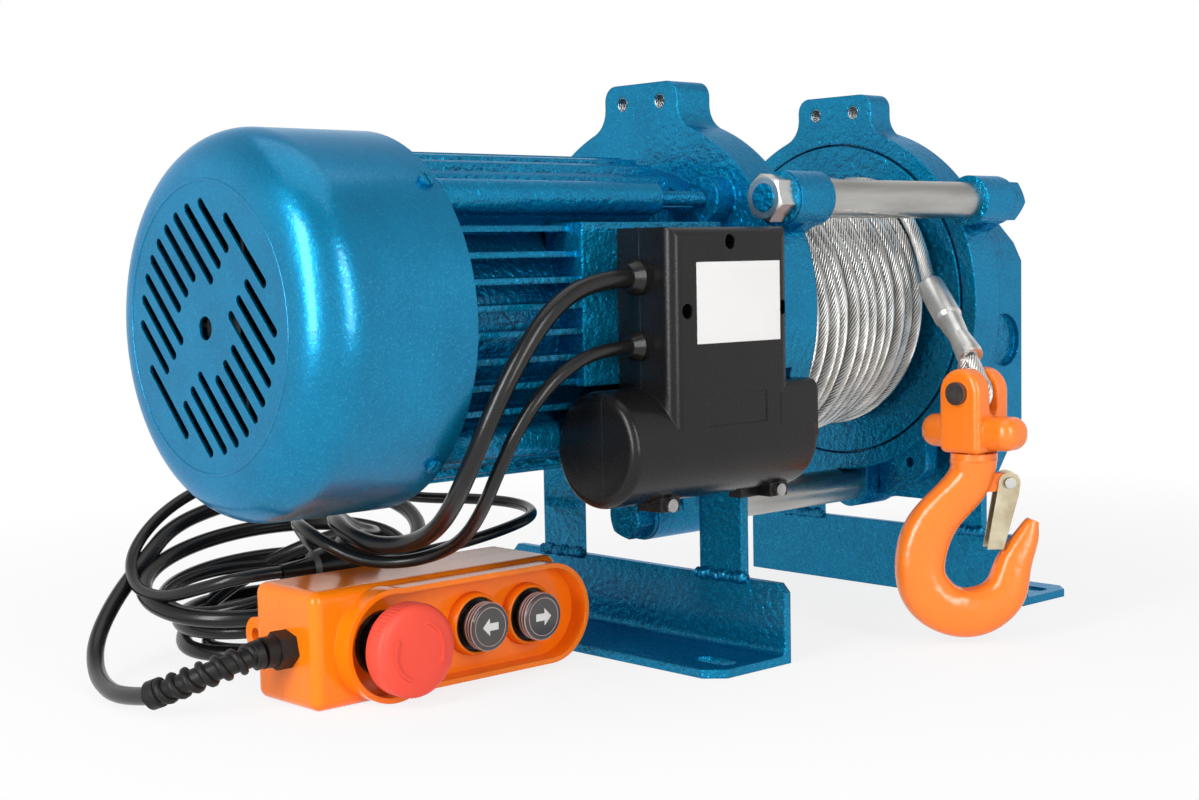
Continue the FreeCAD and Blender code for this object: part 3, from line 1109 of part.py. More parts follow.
def oval(half, z, height):
    """An upright oval prism about the middle of the cable pile."""
    disc = Part.Face(Part.Wire([Part.Circle(Vector(0, 0, 0), Vector(0, 0, 1), 1.0).toShape()]))
    stretch = FreeCAD.Matrix(half[0], 0, 0, COIL_CENTRE[0], 0, half[1], 0, COIL_CENTRE[1],
                             0, 0, 1, z, 0, 0, 0, 1)
    return disc.transformGeometry(stretch).extrude(Vector(0, 0, height))


def cable_coil():
    """The spare turns of both cables as one ring, higher at its back than at its front."""
    ring_body = oval(COIL_HALF, COIL_FOOT_Z, COIL_BACK_Z).cut(oval(COIL_EYE_HALF, -5, 2 * COIL_BACK_Z))
    near = COIL_CENTRE[0] + COIL_HALF[0]
    far = COIL_CENTRE[0] - COIL_HALF[0]
    side = COIL_CENTRE[1] - COIL_HALF[1] - 5
    under = [(near + 1, side, -5), (near + 1, side, COIL_FRONT_Z), (far - 1, side, COIL_BACK_Z),
             (far - 1, side, -5)]
    return ring_body.common(prism(under, (0, 2 * COIL_HALF[1] + 10, 0)))


def mains_plug():
    start = Vector(*PLUG_LEAD_ROUTE[-1])
    along = Vector(0, 1, 0)
    stations = [(0, 0), (4.2, 0), (6.0, 20), (9.5, 22), (12.5, 40), (PLUG_R, 47), (PLUG_R, 58), (0, 58)]
    corners = [Vector(r, s, 0) for r, s in stations]
    body = Part.Face(Part.makePolygon(corners + corners[:1])).revolve(Vector(0, 0, 0), Vector(0, 1, 0), 360)
    body.translate(start)
    pins = [Part.makeCylinder(2.4, 19, start + along * 58 + Vector(s, 0, 0), along) for s in (9.5, -9.5)]
    return join(body, *pins)


def cords():
    save("pendant_cable", tube(THICK_ROUTE, THICK_D, "pendant cable, box to coil"),
         tube(TAIL_ROUTE, THICK_D, "pendant cable, coil to relief"))
    save("mains_lead", tube(THIN_ROUTE, THIN_D, "mains lead, box to coil"),
         tube(PLUG_LEAD_ROUTE, THIN_D, "mains lead, coil to plug"),
         tube(SIDE_LOOP_ROUTE, THIN_D, "mains lead, side loop"))
    save("cable_coil", cable_coil())
    save("mains_plug", mains_plug())


foot_bolts = feet()
save("motor_plate", motor_plate(foot_bolts))
save("gear_plate", gear_plate())
tie_set()
motor()
gear_train()
gearbox(foot_bolts)
drum()
control_box()
pendant_case()
gland()
buttons()
hook()
latch()
swivel_head()
rope_end()
cords()
print("nodes", len(os.listdir("parts")))
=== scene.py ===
# %% [markdown]
# # An electric winch
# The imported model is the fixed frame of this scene: every solid is already at its real size and place.
# This lesson dresses it. It sets the camera, lays the two cables, mixes the finishes and adds the fine
# pieces that the solids leave out: the strands of the rope, chamfered nuts, the fan cover's crease,
# threads, weld beads, the spiral of the strain relief, arrows on the buttons, and on the control box a
# bare plate and a square shoulder.

# %% Load the frame
import math

import bmesh
import bpy
import numpy as np
from mathutils import Matrix, Vector


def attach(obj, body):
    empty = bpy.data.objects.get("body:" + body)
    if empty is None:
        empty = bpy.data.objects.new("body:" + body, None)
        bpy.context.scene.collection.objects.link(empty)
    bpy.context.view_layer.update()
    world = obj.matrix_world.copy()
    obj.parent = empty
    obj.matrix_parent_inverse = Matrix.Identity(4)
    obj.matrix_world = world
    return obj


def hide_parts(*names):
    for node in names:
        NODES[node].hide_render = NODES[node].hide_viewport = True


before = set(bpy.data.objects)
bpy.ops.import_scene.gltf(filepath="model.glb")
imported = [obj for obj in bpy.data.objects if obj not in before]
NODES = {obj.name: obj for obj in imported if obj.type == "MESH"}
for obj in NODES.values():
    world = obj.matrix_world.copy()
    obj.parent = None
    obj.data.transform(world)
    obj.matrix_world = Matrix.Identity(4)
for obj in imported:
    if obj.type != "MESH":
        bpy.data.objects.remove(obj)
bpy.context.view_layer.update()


def add(name, data):
    """A new object in the scene that shows this data."""
    piece = bpy.data.objects.new(name, data)
    bpy.context.scene.collection.objects.link(piece)
    return piece


# %% [markdown]
# ## Camera
# The photograph looks along the motor from its fan end, a little above the drum axis. A camera has three
# angles: the turn about the vertical, the dip below the horizon and a small tilt of the picture. Building
# its matrix from these three keeps each one readable, where a single rotation would hide them.

# %% Camera
CAMERA_PLACE = Vector((0.8239, -0.9089, 0.2364))
CAMERA_TURN = 0.745
CAMERA_DIP = 0.077
CAMERA_TILT = -0.019
LENS_MM = 55.5
SENSOR_MM = 36.0

ahead = Vector((-math.cos(CAMERA_TURN) * math.cos(CAMERA_DIP), math.sin(CAMERA_TURN) * math.cos(CAMERA_DIP),
                -math.sin(CAMERA_DIP)))
right = Vector((math.sin(CAMERA_TURN), math.cos(CAMERA_TURN), 0.0))
above = right.cross(ahead)
tilted_right = right * math.cos(CAMERA_TILT) + above * math.sin(CAMERA_TILT)
tilted_above = above * math.cos(CAMERA_TILT) - right * math.sin(CAMERA_TILT)
camera_data = bpy.data.cameras.new("photo_camera")
camera_data.lens = LENS_MM
camera_data.sensor_width = SENSOR_MM
camera = add("photo_camera", camera_data)
turned = Matrix((tilted_right, tilted_above, -ahead)).transposed().to_4x4()
camera.matrix_world = Matrix.Translation(CAMERA_PLACE) @ turned
bpy.context.scene.camera = camera
bpy.context.scene.view_settings.view_transform = "Standard"
print("camera looks along", [round(v, 3) for v in ahead])

# %% [markdown]
# ## Cables
# Two cables leave the control box: a thick one to the pendant and a thinner mains lead. Both fall in
# front of the motor, pass over the pendant and end in one loose pile. A simulation could drop them there,
# but it would not end on the places of the solids. So each is one smooth spline: points listed where
# the cable runs free, and a formula for the turns of the pile. The first turns lie flat on the floor. The
# later ones are wider and lean on them, low towards the camera and high behind the motor.

# %% Pile of spare turns
PILE_CENTRE = np.array((-0.125, -0.300))
PILE_HALF = np.array((0.078, 0.098))
UPHILL = np.array((-0.733, 0.680))
UPHILL_REACH = float(np.linalg.norm(PILE_HALF * UPHILL))
THICK_D = 0.0098
THIN_D = 0.0072
POINTS_PER_TURN = 16


def eased(where, marks, values):
    """A value between listed marks, level at each mark so that the cable has no kink."""
    k = min(max(int(np.searchsorted(marks, where)) - 1, 0), len(marks) - 2)
    share = (where - marks[k]) / (marks[k + 1] - marks[k])
    return values[k] + (values[k + 1] - values[k]) * share * share * (3 - 2 * share)


def turns(stations):
    """Points of loose turns; a station is an angle, a size, a shift uphill and a near and a far height."""
    angles, sizes, shifts, nears, fars = zip(*stations)
    count = int((angles[-1] - angles[0]) / 360 * POINTS_PER_TURN)
    points = []
    for degrees in np.linspace(angles[0], angles[-1], count + 1):
        size, shift, near, far = (eased(degrees, angles, row) for row in (sizes, shifts, nears, fars))
        around = np.array((math.cos(math.radians(degrees)), math.sin(math.radians(degrees))))
        offset = size * PILE_HALF * around + shift * UPHILL_REACH * UPHILL
        share = 0.5 + 0.5 * float(offset @ UPHILL) / UPHILL_REACH
        points.append((*(PILE_CENTRE + offset), near + (far - near) * share))
    return points


thick_turns = turns([
    (88, 0.72, 0.0, 0.050, 0.070), (260, 0.68, 0.22, 0.006, 0.012), (435, 0.68, 0.24, 0.006, 0.024),
    (795, 0.72, 0.14, 0.022, 0.050), (1155, 0.83, 0.05, 0.031, 0.070), (1515, 0.94, 0.0, 0.034, 0.090),
    (1640, 0.97, 0.0, 0.037, 0.093)])
thin_turns = turns([
    (42, 0.48, 0.0, 0.044, 0.058), (230, 0.52, 0.16, 0.006, 0.012), (400, 0.52, 0.22, 0.006, 0.016),
    (760, 0.62, 0.12, 0.018, 0.038), (1000, 0.76, 0.04, 0.030, 0.060), (1090, 0.68, 0.0, 0.050, 0.068)])
print("pile points", len(thick_turns), len(thin_turns))

# %% Routes in metres, the same places as the solids
THICK_FREE = [
    (0.123, -0.242, 0.2255), (0.123, -0.268, 0.224), (0.124, -0.294, 0.212), (0.123, -0.315, 0.189),
    (0.117, -0.329, 0.161), (0.105, -0.334, 0.134), (0.082, -0.328, 0.111), (0.057, -0.320, 0.095),
    (0.032, -0.318, 0.085), (0.009, -0.323, 0.082), (-0.013, -0.326, 0.086), (-0.035, -0.320, 0.091),
    (-0.056, -0.306, 0.091), (-0.076, -0.286, 0.083), (-0.092, -0.266, 0.075), (-0.106, -0.247, 0.070)]
THICK_TAIL = [
    (-0.176, -0.362, 0.060), (-0.162, -0.390, 0.042), (-0.146, -0.412, 0.023), (-0.124, -0.4245, 0.0105),
    (-0.096, -0.433, 0.0058), (-0.068, -0.437, 0.0065), (-0.042, -0.436, 0.011)]
THIN_FREE = [
    (0.123, -0.242, 0.1895), (0.124, -0.262, 0.1885), (0.125, -0.284, 0.182), (0.123, -0.303, 0.168),
    (0.117, -0.314, 0.150), (0.106, -0.317, 0.130), (0.089, -0.313, 0.110), (0.065, -0.305, 0.092),
    (0.042, -0.303, 0.080), (0.020, -0.314, 0.073), (0.002, -0.330, 0.074), (-0.016, -0.342, 0.084),
    (-0.038, -0.342, 0.091), (-0.060, -0.330, 0.090), (-0.078, -0.315, 0.081), (-0.088, -0.300, 0.068),
    (-0.094, -0.284, 0.058)]
SIDE_LOOP = [
    (-0.076, -0.262, 0.058), (-0.076, -0.236, 0.058), (-0.070, -0.206, 0.061), (-0.060, -0.176, 0.068),
    (-0.068, -0.143, 0.073), (-0.100, -0.128, 0.076), (-0.132, -0.142, 0.078), (-0.148, -0.173, 0.080),
    (-0.158, -0.202, 0.086), (-0.172, -0.230, 0.094), (-0.188, -0.262, 0.102), (-0.199, -0.298, 0.100),
    (-0.199, -0.336, 0.085), (-0.184, -0.368, 0.064), (-0.152, -0.384, 0.048)]
PLUG_LEAD = [
    (-0.118, -0.384, 0.046), (-0.090, -0.376, 0.054), (-0.070, -0.361, 0.061), (-0.062, -0.340, 0.062)]
SPLINE_STEPS = 8
CABLE_ROUNDNESS = 5


def smooth_line(name, points, diameter):
    """A round cable along one spline; each point carries its radius, so that its box comes out right."""
    curve = bpy.data.curves.new(name, "CURVE")
    curve.dimensions = "3D"
    curve.resolution_u = SPLINE_STEPS
    curve.bevel_depth = 1.0 if diameter else 0.0
    curve.bevel_resolution = CABLE_ROUNDNESS
    curve.use_fill_caps = True
    spline = curve.splines.new("NURBS")
    spline.points.add(len(points) - 1)
    for point, place in zip(spline.points, points):
        point.co = (*place, 1.0)
        point.radius = diameter / 2
    spline.order_u = 3
    spline.use_endpoint_u = True
    return add(name, curve)


def centre_line(points):
    """Places along the spline of a route, as Blender evaluates it."""
    guide = smooth_line("guide", points, 0.0)
    mesh = bpy.data.meshes.new_from_object(guide)
    places = [v.co.copy() for v in mesh.vertices]
    bpy.data.objects.remove(guide)
    return places


def length_of(places):
    """The length of a line through places."""
    return sum((b - a).length for a, b in zip(places, places[1:]))


thick_route = THICK_FREE + thick_turns + THICK_TAIL
thin_route = THIN_FREE + thin_turns + SIDE_LOOP + PLUG_LEAD
thick_length = length_of(centre_line(thick_route))
thin_length = length_of(centre_line(thin_route))
print("cable lengths", round(thick_length, 3), round(thin_length, 3))

# %% Lay the cables
pendant_cord = smooth_line("pendant_cord", thick_route, THICK_D)
mains_cord = smooth_line("mains_cord", thin_route, THIN_D)
for cord, node in ((pendant_cord, "pendant_cable"), (mains_cord, "mains_lead")):
    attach(cord, "frame")
    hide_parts(node, "cable_coil")
print("cables laid:", pendant_cord.name, mains_cord.name)

# %% [markdown]
# ## Finishes as arithmetic
# A shader is a little sum over the surface: noise times a strength, one colour mixed into another. Wiring
# that by hand hides the sum, so a socket is wrapped in a small class with the usual operators. Any node
# that isn't plain arithmetic comes from one method, which takes its type, its settings and the values of
# its sockets.

# %% Sockets with operators
class Sock:
    """One output of a shader node, ready for plain arithmetic."""

    def __init__(self, owner, socket):
        self.owner = owner
        self.socket = socket

    def maths(self, operation, first, second):
        """The result of a maths node on two values."""
        return self.owner.node("ShaderNodeMath", {"operation": operation}, {0: first, 1: second})

    def __add__(self, other):
        return self.maths("ADD", self, other)

    def __radd__(self, other):
        return self.maths("ADD", other, self)

    def __sub__(self, other):
        return self.maths("SUBTRACT", self, other)

    def __rsub__(self, other):
        return self.maths("SUBTRACT", other, self)

    def __mul__(self, other):
        return self.maths("MULTIPLY", self, other)

    def __rmul__(self, other):
        return self.maths("MULTIPLY", other, self)


class NodeTree:
    """The nodes of a material or of the world, all made by one method."""

    def __init__(self, tree):
        self.tree = tree

    def node(self, kind, settings=None, inputs=None, output=0):
        """Makes a node with these settings and inputs, and hands back one of its outputs."""
        node = self.tree.nodes.new(kind)
        for key, value in (settings or {}).items():
            if key == "stops":
                ramp = node.color_ramp.elements
                while len(ramp) < len(value):
                    ramp.new(1.0)
                for stop, (position, grey) in zip(ramp, value):
                    stop.position = position
                    stop.color = (grey, grey, grey, 1.0)
            else:
                setattr(node, key, value)
        for key, value in (inputs or {}).items():
            self.join(value, node.inputs[key])
        return Sock(self, node.outputs[output])

    def join(self, value, socket):
        """Links an output to a socket, or writes a plain value on it."""
        if isinstance(value, Sock):
            self.tree.links.new(value.socket, socket)
        elif socket.type == "RGBA":
            socket.default_value = (*value, 1.0)
        else:
            socket.default_value = value


print("socket class ready:", Sock.__name__, NodeTree.__name__)

# %% A material that is fed by sums
class Finish(NodeTree):
    """A material with one Principled shader; plain values go straight on the shader's own sockets."""

    def __init__(self, name, **plain):
        self.material = bpy.data.materials.new(name)
        self.material.use_nodes = True
        super().__init__(self.material.node_tree)
        self.shader = self.tree.nodes["Principled BSDF"]
        self.place = self.node("ShaderNodeTexCoord", output="Object")
        for socket, value in plain.items():
            self.feed(socket.replace("_", " "), value)

    def feed(self, name, value):
        """Sets one socket of the shader."""
        self.join(value, self.shader.inputs[name])

    def noise(self, size, detail=2.0, stretch=(1, 1, 1)):
        """Cloudy values round 0.5 whose lumps are about this large, in metres."""
        place = self.node("ShaderNodeMapping", {}, {"Vector": self.place, "Scale": stretch})
        return self.node("ShaderNodeTexNoise", {}, {"Vector": place, "Scale": 1 / size, "Detail": detail})

    def flakes(self, size):
        """A random value for each small cell, such as the flakes in a metallic paint."""
        inputs = {"Vector": self.place, "Scale": 1 / size}
        cells = self.node("ShaderNodeTexVoronoi", {}, inputs, output="Color")
        return self.node("ShaderNodeSeparateColor", {}, {"Color": cells})

    def ramp(self, value, *stops):
        """A value carried through grey stops, each a position and a brightness."""
        return self.node("ShaderNodeValToRGB", {"stops": stops}, {"Fac": value})

    def mix(self, share, first, second):
        """One colour blended into another by a share from 0 to 1."""
        return self.node("ShaderNodeMix", {"data_type": "RGBA"}, {0: share, 6: first, 7: second}, output=2)

    def relief(self, height, depth, edge=0.0):
        """Bump of this depth in metres over edges that are rounded a little."""
        inputs = {"Height": height, "Distance": depth, "Strength": 1.0}
        if edge:
            inputs["Normal"] = self.node("ShaderNodeBevel", {"samples": 4}, {"Radius": edge})
        self.feed("Normal", self.node("ShaderNodeBump", {}, inputs))


print("finish class ready:", Finish.__name__)

# %% [markdown]
# ## Paint
# The castings wear a blue metallic paint with fine bright flakes and a lumpy surface, and the pressed fan
# cover the same paint with a smoother skin under a glossier coat. Flakes are small random cells; the
# lumps are a bump, because they are far finer than any mesh here. A bevel node rounds the light on cast
# edges.

# %% Blue paint
DEEP_BLUE = (0.0005, 0.102, 0.220)
BRIGHT_BLUE = (0.0006, 0.260, 0.485)
FLAKE_BLUE = (0.040, 0.450, 0.640)
EDGE_BLUE = (0.15, 0.65, 1.00)
COAT_ROUGH = 0.17
PAINT_SHINE = 0.10
CLOUD_SIZE = 0.035
GRAIN_SIZE = 0.0011
FLAKE_SIZE = 0.0007
FLAKE_STOPS = ((0.78, 0.0), (0.98, 1.0))
CLOUD_SHARE = 0.65
FLAKE_SHARE = 0.32
PAINT_METALLIC = 0.70
FLAKE_METALLIC = 0.20
GRAIN_ROUGH = 0.12
FLAKE_POLISH = 0.08
GRAIN_LIFT = 0.15


def blue_paint(name, lump, lump_depth, edge, rough, coat):
    """Metallic paint: fine flakes over a lumpy skin."""
    finish = Finish(name, Coat_Weight=coat, Coat_Roughness=COAT_ROUGH, Specular_IOR_Level=PAINT_SHINE,
                    Specular_Tint=EDGE_BLUE)
    cloud = finish.noise(CLOUD_SIZE, detail=3.0)
    grain = finish.noise(GRAIN_SIZE, detail=1.0)
    flake = finish.ramp(finish.flakes(FLAKE_SIZE), *FLAKE_STOPS)
    body = finish.mix(cloud * CLOUD_SHARE + grain * (1 - CLOUD_SHARE), DEEP_BLUE, BRIGHT_BLUE)
    finish.feed("Base Color", finish.mix(flake * FLAKE_SHARE, body, FLAKE_BLUE))
    finish.feed("Metallic", PAINT_METALLIC + flake * FLAKE_METALLIC)
    finish.feed("Roughness", rough + grain * GRAIN_ROUGH - flake * FLAKE_POLISH)
    finish.relief(finish.noise(lump) + grain * GRAIN_LIFT, lump_depth, edge)
    return finish.material


cast_blue = blue_paint("cast_blue", lump=0.0042, lump_depth=0.0014, edge=0.0018, rough=0.24, coat=0.26)
sheet_blue = blue_paint("sheet_blue", lump=0.0026, lump_depth=0.00016, edge=0.0006, rough=0.28, coat=0.40)
print("blue paints", cast_blue.name, sheet_blue.name)

# %% [markdown]
# ## Bare metal
# Tubes, nuts, rope and pins are zinc or steel, each with faint stains. Pictures of wear would need every
# mesh unwrapped, and noise in the object's own space needs none. One function serves them all: a clean
# and a stained colour, and scratches that may be drawn out along the way the piece was made.

# %% Bare metals
STAIN_SIZE = 0.012
STAIN_STOPS = ((0.35, 0.0), (0.70, 1.0))
SCRATCH_SIZE = 0.0012
SCRATCH_DEPTH = 0.00006
SCRATCH_ROUGH = 0.16
ALONG_Y = (1, 0.12, 1)


def metal(name, clean, stained, rough, streak=(1, 1, 1), edge=0.0004):
    """Bare metal with faint stains, drawn out along the way it was made."""
    finish = Finish(name, Metallic=1.0)
    stain = finish.noise(STAIN_SIZE, detail=4.0, stretch=streak)
    scratch = finish.noise(SCRATCH_SIZE, stretch=streak)
    finish.feed("Base Color", finish.mix(finish.ramp(stain, *STAIN_STOPS), clean, stained))
    finish.feed("Roughness", rough - SCRATCH_ROUGH / 2 + scratch * SCRATCH_ROUGH)
    finish.relief(scratch, SCRATCH_DEPTH, edge)
    return finish.material


tube_zinc = metal("tube_zinc", (0.50, 0.50, 0.48), (0.34, 0.33, 0.31), 0.30, ALONG_Y)
bright_zinc = metal("bright_zinc", (0.58, 0.58, 0.56), (0.44, 0.43, 0.40), 0.30)
bare_steel = metal("bare_steel", (0.42, 0.42, 0.42), (0.27, 0.26, 0.25), 0.34)
pin_steel = metal("pin_steel", (0.22, 0.18, 0.16), (0.11, 0.09, 0.08), 0.40)
latch_zinc = metal("latch_zinc", (0.56, 0.50, 0.36), (0.38, 0.32, 0.21), 0.34)
sleeve_metal = metal("sleeve_metal", (0.84, 0.83, 0.81), (0.60, 0.59, 0.57), 0.32)
rope_wire = metal("rope_wire", (0.74, 0.74, 0.72), (0.50, 0.49, 0.47), 0.32, edge=0.0)
# A near-black steel for the rope's core and inner layer: painted shade for the gaps between strands and
# turns.
rope_painted_shade = metal("rope_painted_shade", (0.075, 0.072, 0.068), (0.035, 0.033, 0.030), 0.50, edge=0.0)
copper_wire = metal("copper_wire", (0.60, 0.25, 0.10), (0.40, 0.15, 0.06), 0.40)
print("metals from", tube_zinc.name, "to", copper_wire.name)

# %% [markdown]
# ## Plastic, rubber and gloss paint
# The box, the cables, the pendant and the painted hook have a nearly even colour and a fine skin. Each
# could be wired on its own, but they differ only in colour, in shine and in how coarse the skin is, so
# one function takes those as its values.

# %% Plastics and rubber
TONE_SIZE = 0.020
SKIN_ROUGH = 0.10


def plastic(name, colour, second, rough, grain=0.0012, depth=0.00003, shine=0.25, edge=0.0006):
    """Moulded plastic or paint: nearly even colour, a fine skin and rounded edges."""
    finish = Finish(name, Specular_IOR_Level=shine)
    tone = finish.noise(TONE_SIZE)
    skin = finish.noise(grain)
    finish.feed("Base Color", finish.mix(tone, colour, second))
    finish.feed("Roughness", rough - SKIN_ROUGH / 2 + skin * SKIN_ROUGH)
    finish.relief(skin, depth, edge)
    return finish.material


box_black = plastic("box_black", (0.0060, 0.0055, 0.0055), (0.0090, 0.0080, 0.0080), 0.26, shine=0.26,
                    edge=0.0010)
cable_black = plastic("cable_black", (0.0070, 0.0066, 0.0064), (0.0110, 0.0105, 0.0100), 0.24, shine=0.35,
                      edge=0.0)
relief_black = plastic("relief_black", (0.0085, 0.0080, 0.0076), (0.0125, 0.0118, 0.0110), 0.44, edge=0.0)
hook_orange = plastic("hook_orange", (0.95, 0.215, 0.012), (0.88, 0.180, 0.010), 0.22, grain=0.0060,
                      depth=0.00028, shine=0.60, edge=0.0015)
pendant_orange = plastic("pendant_orange", (0.98, 0.210, 0.003), (0.96, 0.200, 0.003), 0.16, depth=0.00001,
                         shine=0.35)
stop_red = plastic("stop_red", (0.88, 0.085, 0.050), (0.84, 0.078, 0.046), 0.42, grain=0.0007)
button_grey = plastic("button_grey", (0.050, 0.046, 0.045), (0.065, 0.060, 0.058), 0.14, depth=0.00001,
                      shine=0.6)
ring_pink = plastic("ring_pink", (0.52, 0.36, 0.33), (0.45, 0.30, 0.28), 0.20, shine=0.5)
plate_white = plastic("plate_white", (0.80, 0.79, 0.78), (0.76, 0.75, 0.74), 0.45)
can_white = plastic("can_white", (0.70, 0.70, 0.67), (0.66, 0.66, 0.63), 0.40)
print("plastics from", box_black.name, "to", can_white.name)

# %% [markdown]
# ## Dressing the solids
# Every solid already carries the name of its slot as its material. One table turns slots into finishes,
# and a second one names the few solids whose finish differs from the rest of their slot.

# %% Finishes on the solids
FINISH_OF_SLOT = {
    "blue_paint": cast_blue, "zinc": bright_zinc, "steel": bare_steel, "copper": copper_wire,
    "black_plastic": box_black, "capacitor_can": can_white, "cable_rubber": cable_black,
    "wire_rope": rope_wire, "ferrule_metal": sleeve_metal, "orange_paint": hook_orange,
    "dark_steel": pin_steel, "yellow_zinc": latch_zinc, "orange_plastic": pendant_orange,
    "ring_plastic": ring_pink, "red_plastic": stop_red}
FINISH_OF_NODE = {
    "fan_cover": sheet_blue, "spacer_tubes": tube_zinc, "through_bolts": cast_blue,
    "gearbox_bolts": cast_blue, "tie_washers": cast_blue, "tie_rods": cast_blue,
    "fan_cover_screws": cast_blue, "control_box_screws": bare_steel, "button_bezels": box_black,
    "gland_nut": relief_black, "latch_pin": bright_zinc}
for name, node in NODES.items():
    slot = node.data.materials[0].name
    node.data.materials[0] = FINISH_OF_NODE.get(name, FINISH_OF_SLOT[slot])
for cord in (pendant_cord, mains_cord):
    cord.data.materials.append(cable_black)
print("finishes on", len(NODES), "solids and two cables")

# %% [markdown]
# ## Meshes along a line
# Ropes, ribs, threads and weld beads are all a round section carried along a line. The section must not
# twist by itself, so its two directions are carried from point to point by the smallest turn. A radius
# may be one number or one per point, which gives a bead its ripples.

# %% Sweep helpers
FIRST_SIDE = (0.3, 0.2, 0.9)


def frame_along(places):
    """Two side directions at each place of a line, without twist."""
    run = np.gradient(places, axis=0)
    run /= np.linalg.norm(run, axis=1)[:, None]
    side = np.zeros_like(run)
    start = np.cross(run[0], FIRST_SIDE)
    side[0] = start / np.linalg.norm(start)
    for k in range(1, len(run)):
        carried = side[k - 1] - run[k] * np.dot(side[k - 1], run[k])
        side[k] = carried / np.linalg.norm(carried)
    return side, np.cross(run, side)


def round_line(places, turn, reach):
    """A line that winds about another one at this distance; turn is its angle at each place."""
    side, over = frame_along(places)
    return places + reach * (np.cos(turn)[:, None] * side + np.sin(turn)[:, None] * over)


def sweep(lines, radius, sides):
    """One closed mesh of round tubes along several lines."""
    verts, faces = [], []
    turn = np.linspace(0, 2 * math.pi, sides, endpoint=False)
    for places in lines:
        places = np.asarray(places, float)
        side, over = frame_along(places)
        reach = np.broadcast_to(np.asarray(radius, float), len(places))
        rings = places[:, None] + reach[:, None, None] * (
            np.cos(turn)[None, :, None] * side[:, None] + np.sin(turn)[None, :, None] * over[:, None])
        first = len(verts)
        verts.extend(rings.reshape(-1, 3).tolist())
        for k in range(len(places) - 1):
            for s in range(sides):
                a = first + k * sides + s
                b = first + k * sides + (s + 1) % sides
                faces.append((a, b, b + sides, a + sides))
        last = first + (len(places) - 1) * sides
        faces.append(tuple(reversed(range(first, first + sides))))
        faces.append(tuple(range(last, last + sides)))
    mesh = bpy.data.meshes.new("sweep")
    mesh.from_pydata(verts, [], faces)
    return mesh


def show(name, mesh, finish, body, slot, smooth=True):
    """A mesh as a piece that rides on a body."""
    mesh.materials.append(finish)
    mesh.polygons.foreach_set("use_smooth", [smooth] * len(mesh.polygons))
    piece = add(name, mesh)
    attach(piece, body)
    return piece


print("sweep helpers ready:", sweep.__name__, show.__name__)

# %% [markdown]
# ## Wire rope
# The rope is a core under twelve outer strands, which run round it once in each length of lay and
# leave narrow gaps. The core is near-black: painted shade, so that the gaps between the strands read dark.
# On the drum its path is a helix with small uneven shifts, as a winch winds it without a guide. An inner
# layer shows between the turns, painted just as dark: painted shade in the gaps between the turns. A
# striped texture could stand for the strands, but its outline would stay smooth, so every strand is a tube
# of its own.

# %% Rope on the drum
AXIS = (0.018, 0.205)
ROPE_R = 0.0043
LAY_LENGTH = 0.036
OUTER_STRANDS = 12
STRAND_FILL = 0.90
HALF_STRAND = math.sin(math.pi / OUTER_STRANDS)
STRAND_R = ROPE_R * HALF_STRAND / (1 + HALF_STRAND) * STRAND_FILL
CORE_DEPTH = 1.1
ROPE_CORE_R = ROPE_R - CORE_DEPTH * STRAND_R
DRUM_STRAND_SIDES = 4
CORE_SIDES = 8
OUTER_TURNS = 14.2
INNER_TURNS = 13.6
TURN_PITCH = 0.0095
FIRST_TURN_Y = 0.0455
FIRST_TURN_DEGREES = 100
OUTER_LAYER_R = 0.0777
INNER_LAYER_R = 0.0722
OUTER_UNEVEN = 0.0006
INNER_UNEVEN = 0.0004
UNEVEN_WAVES = ((1.0, 1.7 / 2.3, 0.8), (0.6, 0.61, 2.0))
LAYER_WAVE = 0.0005
LAYER_WAVE_RATE = 0.43
SLACK_SINK = 0.0058
SLACK_SPREAD = 0.0030
TIGHT_Y = 0.028
SLACK_Y = -0.030
STEPS_PER_TURN = 140


def gone_along(places):
    """The length gone at each place of a line."""
    return np.concatenate(([0], np.cumsum(np.linalg.norm(np.diff(places, axis=0), axis=1))))


def strands(places):
    """The outer strands of a rope along a line."""
    places = np.asarray(places, float)
    gone = gone_along(places) / LAY_LENGTH
    angles = [2 * math.pi * (gone + k / OUTER_STRANDS) for k in range(OUTER_STRANDS)]
    return [round_line(places, turn, ROPE_R - STRAND_R) for turn in angles]


def drum_helix(radius, first_y, turn_count, uneven):
    """Places of a wound layer from the gearbox side towards the motor, where its turns hang slack."""
    places = []
    for k in range(int(turn_count * STEPS_PER_TURN) + 1):
        share = k / STEPS_PER_TURN
        angle = math.radians(FIRST_TURN_DEGREES) + 2 * math.pi * share
        shift = uneven * sum(size * math.sin(rate * angle + start) for size, rate, start in UNEVEN_WAVES)
        y = first_y - TURN_PITCH * share + shift
        slack = eased(min(max(y, SLACK_Y), TIGHT_Y), (SLACK_Y, TIGHT_Y), (1.0, 0.0))
        r = radius + LAYER_WAVE * math.sin(angle * LAYER_WAVE_RATE) + SLACK_SPREAD * slack
        places.append((AXIS[0] + r * math.cos(angle), y, AXIS[1] - SLACK_SINK * slack + r * math.sin(angle)))
    return places


outer_layer = drum_helix(OUTER_LAYER_R, FIRST_TURN_Y, OUTER_TURNS, OUTER_UNEVEN)
outer_strands = sweep(strands(outer_layer), STRAND_R, DRUM_STRAND_SIDES)
winding = show("rope_turns", outer_strands, rope_wire, "drum_assembly", "wire_rope")
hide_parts("rope_winding")
inner_layer = drum_helix(INNER_LAYER_R, FIRST_TURN_Y - TURN_PITCH / 2, INNER_TURNS, INNER_UNEVEN)
# The core and the inner layer are near-black: painted shade that darkens the gaps between strands and turns.
show("rope_core", sweep([outer_layer], ROPE_CORE_R, CORE_SIDES), rope_painted_shade, "drum_assembly", "wire_rope")
show("rope_inner_layer", sweep([inner_layer], ROPE_R, CORE_SIDES), rope_painted_shade, "drum_assembly", "wire_rope")
print("rope on the drum", round(length_of([Vector(p) for p in outer_layer]), 2), "m")

